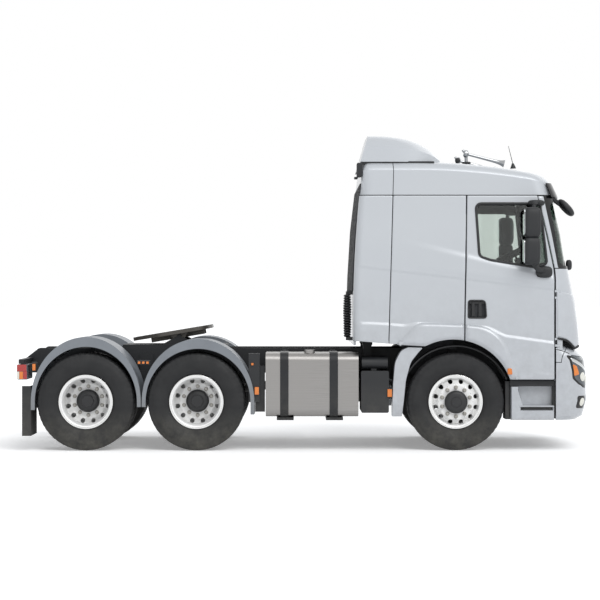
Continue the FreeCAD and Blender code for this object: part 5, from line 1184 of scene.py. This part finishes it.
# Thin black tubes along the seam behind the door and along the roof's lower rim paint the shade in those
# seams.
seam_v = np.linspace(0, 2.6, 40)
seam_z = np.interp(seam_v, [0, 1, 2, 3], [2.947, 3.238, 3.337, 3.337])
seam_d = rear_seam(seam_z) - corner_start(seam_z)
seam_line = tube(roof_point(seam_d, seam_v), 0.0042, 6)
roof_rim = d_run[30:]
rim_line = tube(roof_point(roof_rim, 0 * roof_rim) - (0, 0, 0.004), 0.0050, 6)
mesh_piece("roof_seam_shade", *both_sides(joined_meshes([seam_line, rim_line])), "cab", seam_shade_black,
           "black_plastic")

# Roof deflector: a moulded shell on the roof. Its sides stand up to a crease, lean in above it, and
# its top falls to the front as a superellipse; it sits on a black rubber strip.
def deflector_top(t):
    """Height above the roof for t from 0 at the rear to 1 at the front: 0.303 (1 - t^2.6)^(1/1.6)."""
    return 0.303 * np.clip(1 - t**2.6, 0, 1) ** (1 / 1.6)


base_z = 3.344
t_run = 1 - (1 - np.linspace(0, 1, 60)) ** 1.6
t_net = t_run[:, None]
rise = deflector_top(t_net)
crease_rise = np.minimum(0.166 * np.clip(1 - t_net**3.0, 0, 1) ** 0.7, rise * 0.92)
q = np.linspace(0, 1, 8)[None]
crown_q = np.linspace(0.12, 1, 12)[None]
half_plan = 1.135 - 0.16 * np.clip(t_net, 0, 1) ** 5
wall_y = half_plan - 0.012 * q + 0 * t_net
wall_z = -0.010 + (crease_rise + 0.010) * q
lean_y = half_plan - 0.012 - 0.20 * crown_q
lean_z = crease_rise + (rise - crease_rise) * (1 - (1 - crown_q) ** 1.7)
top_y = (half_plan - 0.212) * (1 - crown_q)
top_z = rise + 0.016 * (1 - (1 - crown_q) ** 2) * np.clip(1 - t_net**2, 0, 1)
y_net = np.concatenate([wall_y, lean_y, top_y], 1)
z_net = np.concatenate([wall_z, lean_z, top_z], 1)
x_net = 0.720 + 0.827 * t_net - 0.087 * (1 - np.clip(z_net / 0.289, 0, 1)) * (1 - t_net)
x_net = x_net + 0.05 * t_net**4 * (1 - (y_net / 1.135) ** 2)
shell = np.stack([x_net + 0 * z_net, y_net, base_z + z_net], -1)
rear_wall = shell[:1] * (1, 0, 1) + (0.004, 0, 0)
shell = np.concatenate([rear_wall, shell])
half_shell = (shell.reshape(-1, 3), grid_faces(*shell.shape[:2]).tolist())
half_shell = (half_shell[0], outward_faces(*half_shell))
deflector = mesh_piece("roof_deflector_shell", *both_sides(half_shell), "cab", silver_paint, "cab_paint", 28)
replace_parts(deflector, "roof_deflector")
strip = prism(rounded([(0.665, 3.300, 0.004), (0.650, 3.340, 0.004), (1.50, 3.340, 0.01),
                       (1.46, 3.300, 0.01)]), -1.122, 1.122)
mesh_piece("deflector_rubber_strip", *strip, "cab", moulded_rubber, "black_plastic")

# Windscreen pillars: a narrow painted steel strip beside each door, welded to the cab's frame. The rest
# of the windscreen's frame is gloss black.
pillar_line = strip_along(2.905, 2.116, 2.766, 2.796)
pillar = np.array(
    [[door_edge + seam, 2.105], [pillar_line(2.105) + 0.01, 2.105], [pillar_line(2.116), 2.116],
     [pillar_line(2.45) + 0.004, 2.45], [pillar_line(2.796), 2.796], [pillar_line(2.93), 2.932],
     [nose - 0.660 + seam, 2.932], [nose - 0.655 + seam, 2.900], [nose - 0.600, 2.70], [nose - 0.540, 2.45],
     [nose - 0.497, 2.25]])
skin_panel("pillar_strip", pillar, [], "cab", lift=0.005, gap=0.02)

# Corner vanes: moulded and painted panels, clipped on outboard of the grille, which lead air round to the
# door. A black tube along the gap below them and a black plate behind it paint the shade in that gap.
vane = rounded([(door_edge + 0.028, 1.318, 0.01), (door_edge + 0.028, 1.838, 0.01), (3.125, 1.800, 0.03),
                (3.230, 1.790, 0.03), (3.290, 1.225, 0.03), (3.125, 1.200, 0.02), (3.045, 1.258, 0.06),
                (2.985, 1.292, 0.05)])
skin_panel("corner_vane", vane, [], "cab", lift=0.009, edge=0.008, roll=0.012, depth=0.014)
# Painted shade in the gap under each vane: a black tube along it and a black plate behind.
vane_gap_shade_tube = tube(skin_points(np.column_stack([bent([(2.892, 1.296), (2.985, 1.276), (3.045, 1.243),
                                                   (3.122, 1.186),
                                                   (3.20, 1.192), (3.27, 1.205)]), np.zeros(41)]), 0.0),
                                                   0.013, 8)
vane_shade_plate = prism(rect(2.885, 3.125, 1.165, 1.33), 1.045, 1.075)
vane_dark = joined_meshes([vane_gap_shade_tube, vane_shade_plate])
mesh_piece("vane_gap_shade", *both_sides(vane_dark), "cab", seam_shade_black, "black_plastic")
wheelhouse = both_sides(prism(rect(1.13, 1.72, 1.165, 1.285), 0.86, 0.90))
mesh_piece("wheelhouse_closers", *wheelhouse, "cab", liner_and_seam_shade, "black_plastic")

# Lamps: headlamps let into the bumper's corners, with a black frame, a bright upper band, an orange
# indicator and bright bowls; fog lamps below them; red, orange and clear lenses at the tail.
def bumper_skin(d, z):
    """The bumper's plan at height z, by straight pieces between its measured levels."""
    levels = [0.356, 0.400, 0.574, 0.922, 1.039, 1.100, 1.160, 1.206]
    setback = np.interp(z, levels, [0.122, 0.045, 0.0, 0.009, 0.028, 0.068, 0.131, 0.235])
    half = np.interp(z, levels, [1.225, 1.240, 1.245, 1.245, 1.245, 1.245, 1.242, 1.238])
    x, y = plan_front(d, nose - setback - 0.078 - 0.26, half, 0.26, 0.078)
    return np.stack([x, y, z + 0 * x], -1)


def bumper_points(net, lift=0.0):
    """Lays a flat net on the bumper: its first axis is measured forward from where the corner begins."""
    return off_surface(bumper_skin, net[:, 0], net[:, 1], net[:, 2] - lift)


lamp_bowl = finish_surface("bright_lamp_reflector", "#54585c", "#6a6f73", 30.0, (0.15, 0.3), 12.0, 0.2, 0.5)
lamp_chrome = finish_surface("chromed_lamp_trim", "#c9cccd", "#d5d8d9", 60.0, (0.08, 0.14), metal=1.0)
orange_lens = finish_surface("orange_lamp_lens", "#d9731c", "#e07f26", 20.0, (0.12, 0.2), 6.0, 0.15,
                             more={"Coat Weight": 0.6})
red_lens = finish_surface("red_lamp_lens", "#a3201b", "#b02a22", 20.0, (0.12, 0.2), 6.0, 0.15,
                          more={"Coat Weight": 0.6})
clear_lens = finish_surface("clear_lamp_lens", "#d8d7cd", "#e2e1d8", 20.0, (0.1, 0.18), 6.0, 0.15,
                            more={"Coat Weight": 0.6})
dress(lamp_bowl, "lamps")
lamp_line = [(0.066, 1.108, 0.02), (0.130, 1.090, 0.06), (0.235, 1.030, 0.05), (0.330, 0.960, 0.05),
             (0.560, 0.925, 0.03),
             (0.560, 0.735, 0.03), (0.300, 0.712, 0.05), (0.160, 0.765, 0.04), (0.085, 0.830, 0.04)]
lamp_outline = rounded(lamp_line)
middle = lamp_outline.mean(0)
band = rounded([(0.095, 1.075, 0.01), (0.232, 1.004, 0.03), (0.325, 0.935, 0.03), (0.53, 0.905, 0.01),
                (0.53, 0.880, 0.01), (0.32, 0.905, 0.03), (0.222, 0.968, 0.03), (0.100, 1.030, 0.01)])
indicator = rounded([(0.100, 1.000, 0.01), (0.150, 0.975, 0.01), (0.175, 0.880, 0.01), (0.105, 0.860, 0.01)])
fog = rounded([(0.140, 0.490, 0.03), (0.142, 0.635, 0.03), (0.300, 0.635, 0.03), (0.300, 0.480, 0.03)])
round_lamp = np.linspace(0, 2 * np.pi, 28, endpoint=False)
ring = np.column_stack([np.cos(round_lamp), np.sin(round_lamp)])
lamp_panels = [
    ("headlamp_frame", lamp_outline, 0.003, 0.012, 0.002, 0.010, None, gloss_black, "black_plastic"),
    ("headlamp_bowl", 0.86 * (lamp_outline - middle) + middle, 0.005, 0.010, 0.002, 0.006, None, lamp_bowl,
     "lamp_lens"),
    ("headlamp_trim", band, 0.008, 0.010, 0.002, 0.006, None, lamp_chrome, "chromed_rod"),
    ("headlamp_indicator", indicator, 0.008, 0.010, 0.002, 0.006, None, orange_lens, "lamp_lens")]
for i, (u, z, r) in enumerate([(0.245, 0.850, 0.052), (0.350, 0.820, 0.055), (0.470, 0.820, 0.055)]):
    lamp_panels.append(("headlamp_lens_%d" % i, (u, z) + r * ring, 0.016, 0.010, 0.010, 0.014, 0.03,
                        clear_lens,
                        "lamp_lens"))
lamp_panels += [
    ("fog_lamp_frame", fog, 0.004, 0.010, 0.003, 0.012, 0.006, gloss_black, "black_plastic"),
    ("fog_lamp_lens", (0.228, 0.560) + (0.046, 0.045) * ring, 0.012, 0.010, 0.007, 0.010, 0.02, clear_lens,
     "lamp_lens")]
for label, outline, *settings in lamp_panels:
    skin_panel(label, outline, [], "chassis", *settings, bumper_points)
# A thin black tube along each bumper corner's joint paints the shade in that joint.
bumper_joint_shade = tube(bumper_points(np.column_stack([bent([(-0.125, 1.205), (0.00, 1.180), (0.10, 1.140),
                                                         (0.135, 1.118)]),
                                                   np.zeros(25)]), 0.0), 0.005, 6)
mesh_piece("bumper_corner_joint_shade", *both_sides(bumper_joint_shade), "chassis", seam_shade_black, "black_plastic")

tail_x = -3.322


def blocks(boxes):
    """Several boxes, each (x0, x1, y0, y1, z0, z1), and their twins on the other side."""
    return both_sides(joined_meshes([prism(rect(b[0], b[1], b[4], b[5]), b[2], b[3]) for b in boxes]))


for label, lens, boxes in (
        ("tail_red", red_lens, [(tail_x, -3.214, 1.205, 1.231, 0.915, 0.992),
                                (-3.252, -3.210, 1.205, 1.230, 0.826, 0.915),
                                (tail_x - 0.006, tail_x + 0.02, 1.01, 1.205, 0.835, 0.985)]),
        ("tail_orange", orange_lens, [(-3.296, -3.254, 1.205, 1.231, 0.826, 0.912),
                                      (tail_x - 0.006, tail_x + 0.02, 0.905, 1.0, 0.835, 0.985)]),
        ("tail_clear", clear_lens, [(tail_x - 0.004, -3.298, 1.205, 1.230, 0.826, 0.912),
                                    (tail_x - 0.006, tail_x + 0.02, 0.82, 0.895, 0.835, 0.985)])):
    bevelled(mesh_piece(label + "_lenses", *blocks(boxes), "chassis", lens, "lamp_lens"), 0.003)
markers = blocks([(0.939, 0.989, 1.205, 1.246, 0.622, 0.710), (-0.588, -0.540, 1.190, 1.246, 0.648, 0.735),
                  (-3.148, -3.112, 1.18, 1.22, 0.925, 1.000)]
                 + [(x - 0.014, x + 0.014, 1.19, 1.236, 1.002, 1.028) for x in (-1.918, -1.870, -1.822)]
                 + [(-0.628, -0.602, 1.19, 1.236, 0.985, 1.012)])
bevelled(mesh_piece("side_marker_lenses", *markers, "chassis", orange_lens, "lamp_lens"), 0.003)
marker_boxes = blocks([(0.930, 0.998, 1.12, 1.222, 0.60, 0.73), (-0.66, -0.53, 1.10, 1.215, 0.56, 1.12),
                       (-3.16, -3.10, 1.12, 1.185, 0.90, 1.02), (-1.945, -1.795, 1.10, 1.200, 0.990, 1.040)])
bevelled(mesh_piece("side_marker_boxes", *marker_boxes, "chassis", box_plastic, "black_plastic"), 0.004)
flare_marker = rounded([(2.316, 0.880, 0.012), (2.312, 0.950, 0.012), (2.362, 0.955, 0.012),
                        (2.372, 0.880, 0.012)])
skin_panel("flare_marker", flare_marker, [], "door", 0.034, 0.012, 0.006, 0.016, 0.010, orange_lens,
           "lamp_lens")

# Air lines: two hoses of black nylon, set in a coil and parked upright behind the cab. A bracket at each
# end holds them to the cab's back wall.
turns = 17
hose_y = (-0.70, -0.58)
hose_radius = 0.0115
t = np.linspace(0, 1, turns * 16 + 1)
coils = []
for y in hose_y:
    swell = 0.030 + 0.010 * np.sin(np.pi * t) * (0.8 + 0.2 * np.sin(11 * t + 9 * y))
    wave = 2 * np.pi * turns * t
    path = np.column_stack([0.490 + swell * np.cos(wave), y + swell * np.sin(wave), 1.300 + 0.500 * t])
    coils.append(tube(path, hose_radius, 8))
coils.append(joined_meshes([prism(rect(0.475, 0.552, z0, z1), y - 0.02, y + 0.02)
                            for y in hose_y for z0, z1 in ((1.262, 1.300), (1.800, 1.838))]))
line_nylon = finish_surface("black_nylon_air_line", "#1a1b1d", "#242528", 30.0, (0.3, 0.42), 3.0, 0.05)
air_piece = mesh_piece("coiled_air_lines", *joined_meshes(coils), "cab", line_nylon, "black_plastic")
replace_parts(air_piece, "air_lines")

# Seats and bunk: foam cushions in grey woven cloth on steel frames. Each cushion starts as a rounded box
# a little under size; the cloth simulation inflates it, and a cap keeps each point near where it began.
PAD_CAP = 0.024
seat_y = 0.640


def bake_modifiers(piece):
    """Puts the piece's modifiers into its mesh."""
    shown = piece.evaluated_get(bpy.context.evaluated_depsgraph_get())
    made = bpy.data.meshes.new_from_object(shown)
    piece.modifiers.clear()
    piece.data = made


def cushion(name, low, high, lean=0.0, power=5.0):
    """A padded cushion between two corners, its top leaned back by lean."""
    points, faces = pod(np.array(low) + 0.012, np.array(high) - 0.012, power, 40, 64, (lean, 0.0))
    pad = mesh_piece(name, points, faces, "cab", seat_cloth, "seat_fabric", 180)
    remesh = pad.modifiers.new("even", "REMESH")
    remesh.mode = "VOXEL"
    remesh.voxel_size = 0.012 if high[1] - low[1] > 1.0 else 0.008
    bake_modifiers(pad)
    rest = np.empty(len(pad.data.vertices) * 3)
    pad.data.vertices.foreach_get("co", rest)
    cloth = pad.modifiers.new("inflate", "CLOTH")
    cloth.settings.use_pressure = True
    cloth.settings.uniform_pressure_force = 4.0
    cloth.settings.effector_weights.gravity = 0.0
    cloth.point_cache.frame_end = 20
    for frame_number in range(1, 21):
        scene.frame_set(frame_number)
    blown = pad.evaluated_get(bpy.context.evaluated_depsgraph_get())
    moved = np.empty(len(rest))
    blown.data.vertices.foreach_get("co", moved)
    pad.modifiers.clear()
    scene.frame_set(1)
    step = (moved - rest).reshape(-1, 3)
    size = np.linalg.norm(step, axis=1, keepdims=True) + 1e-9
    kept = rest.reshape(-1, 3) + step * np.minimum(1, PAD_CAP / size)
    pad.data.vertices.foreach_set("co", kept.ravel())
    pad.data.polygons.foreach_set("use_smooth", np.ones(len(pad.data.polygons), bool))
    pad.data.update()
    return pad


for side, sign in (("left", 1), ("right", -1)):
    y = seat_y * sign
    base = cushion("seat_cushion_" + side, (1.90, y - 0.235, 1.800), (2.42, y + 0.235, 1.945))
    cushion("seat_back_" + side, (1.812, y - 0.225, 1.930), (1.945, y + 0.225, 2.480), -0.045)
    cushion("seat_headrest_" + side, (1.780, y - 0.130, 2.500), (1.880, y + 0.130, 2.680), -0.010)
    if side == "left":
        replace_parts(base, "seats")
for side, y in (("left", seat_y), ("right", -seat_y)):
    frame_parts = joined_meshes([
        prism(rounded([(1.93, 1.332, 0.01), (1.99, 1.80, 0.03), (2.33, 1.80, 0.03), (2.37, 1.332, 0.01)]),
              y - 0.16, y + 0.16),
        prism(rounded([(1.870, 1.80, 0.02), (1.775, 2.47, 0.02), (1.800, 2.47, 0.01), (1.90, 1.80, 0.01)]),
              y - 0.21, y + 0.21),
        tube([(1.818, y - 0.05, 2.44), (1.820, y - 0.05, 2.56)], 0.008),
        tube([(1.818, y + 0.05, 2.44), (1.820, y + 0.05, 2.56)], 0.008)])
    bevelled(mesh_piece("seat_frame_" + side, *frame_parts, "cab", liner_and_seam_shade, "black_plastic"), 0.005)
cushion("bunk_mattress", (0.63, -1.14, 1.665), (1.335, 1.14, 1.815), power=7.0)
bunk_box = prism(rounded([(0.63, 1.332, 0.01), (0.63, 1.66, 0.01), (1.335, 1.66, 0.01),
                          (1.30, 1.332, 0.01)]), -1.13, 1.13)
bevelled(mesh_piece("bunk_locker", *bunk_box, "cab", liner_and_seam_shade, "black_plastic"), 0.008)
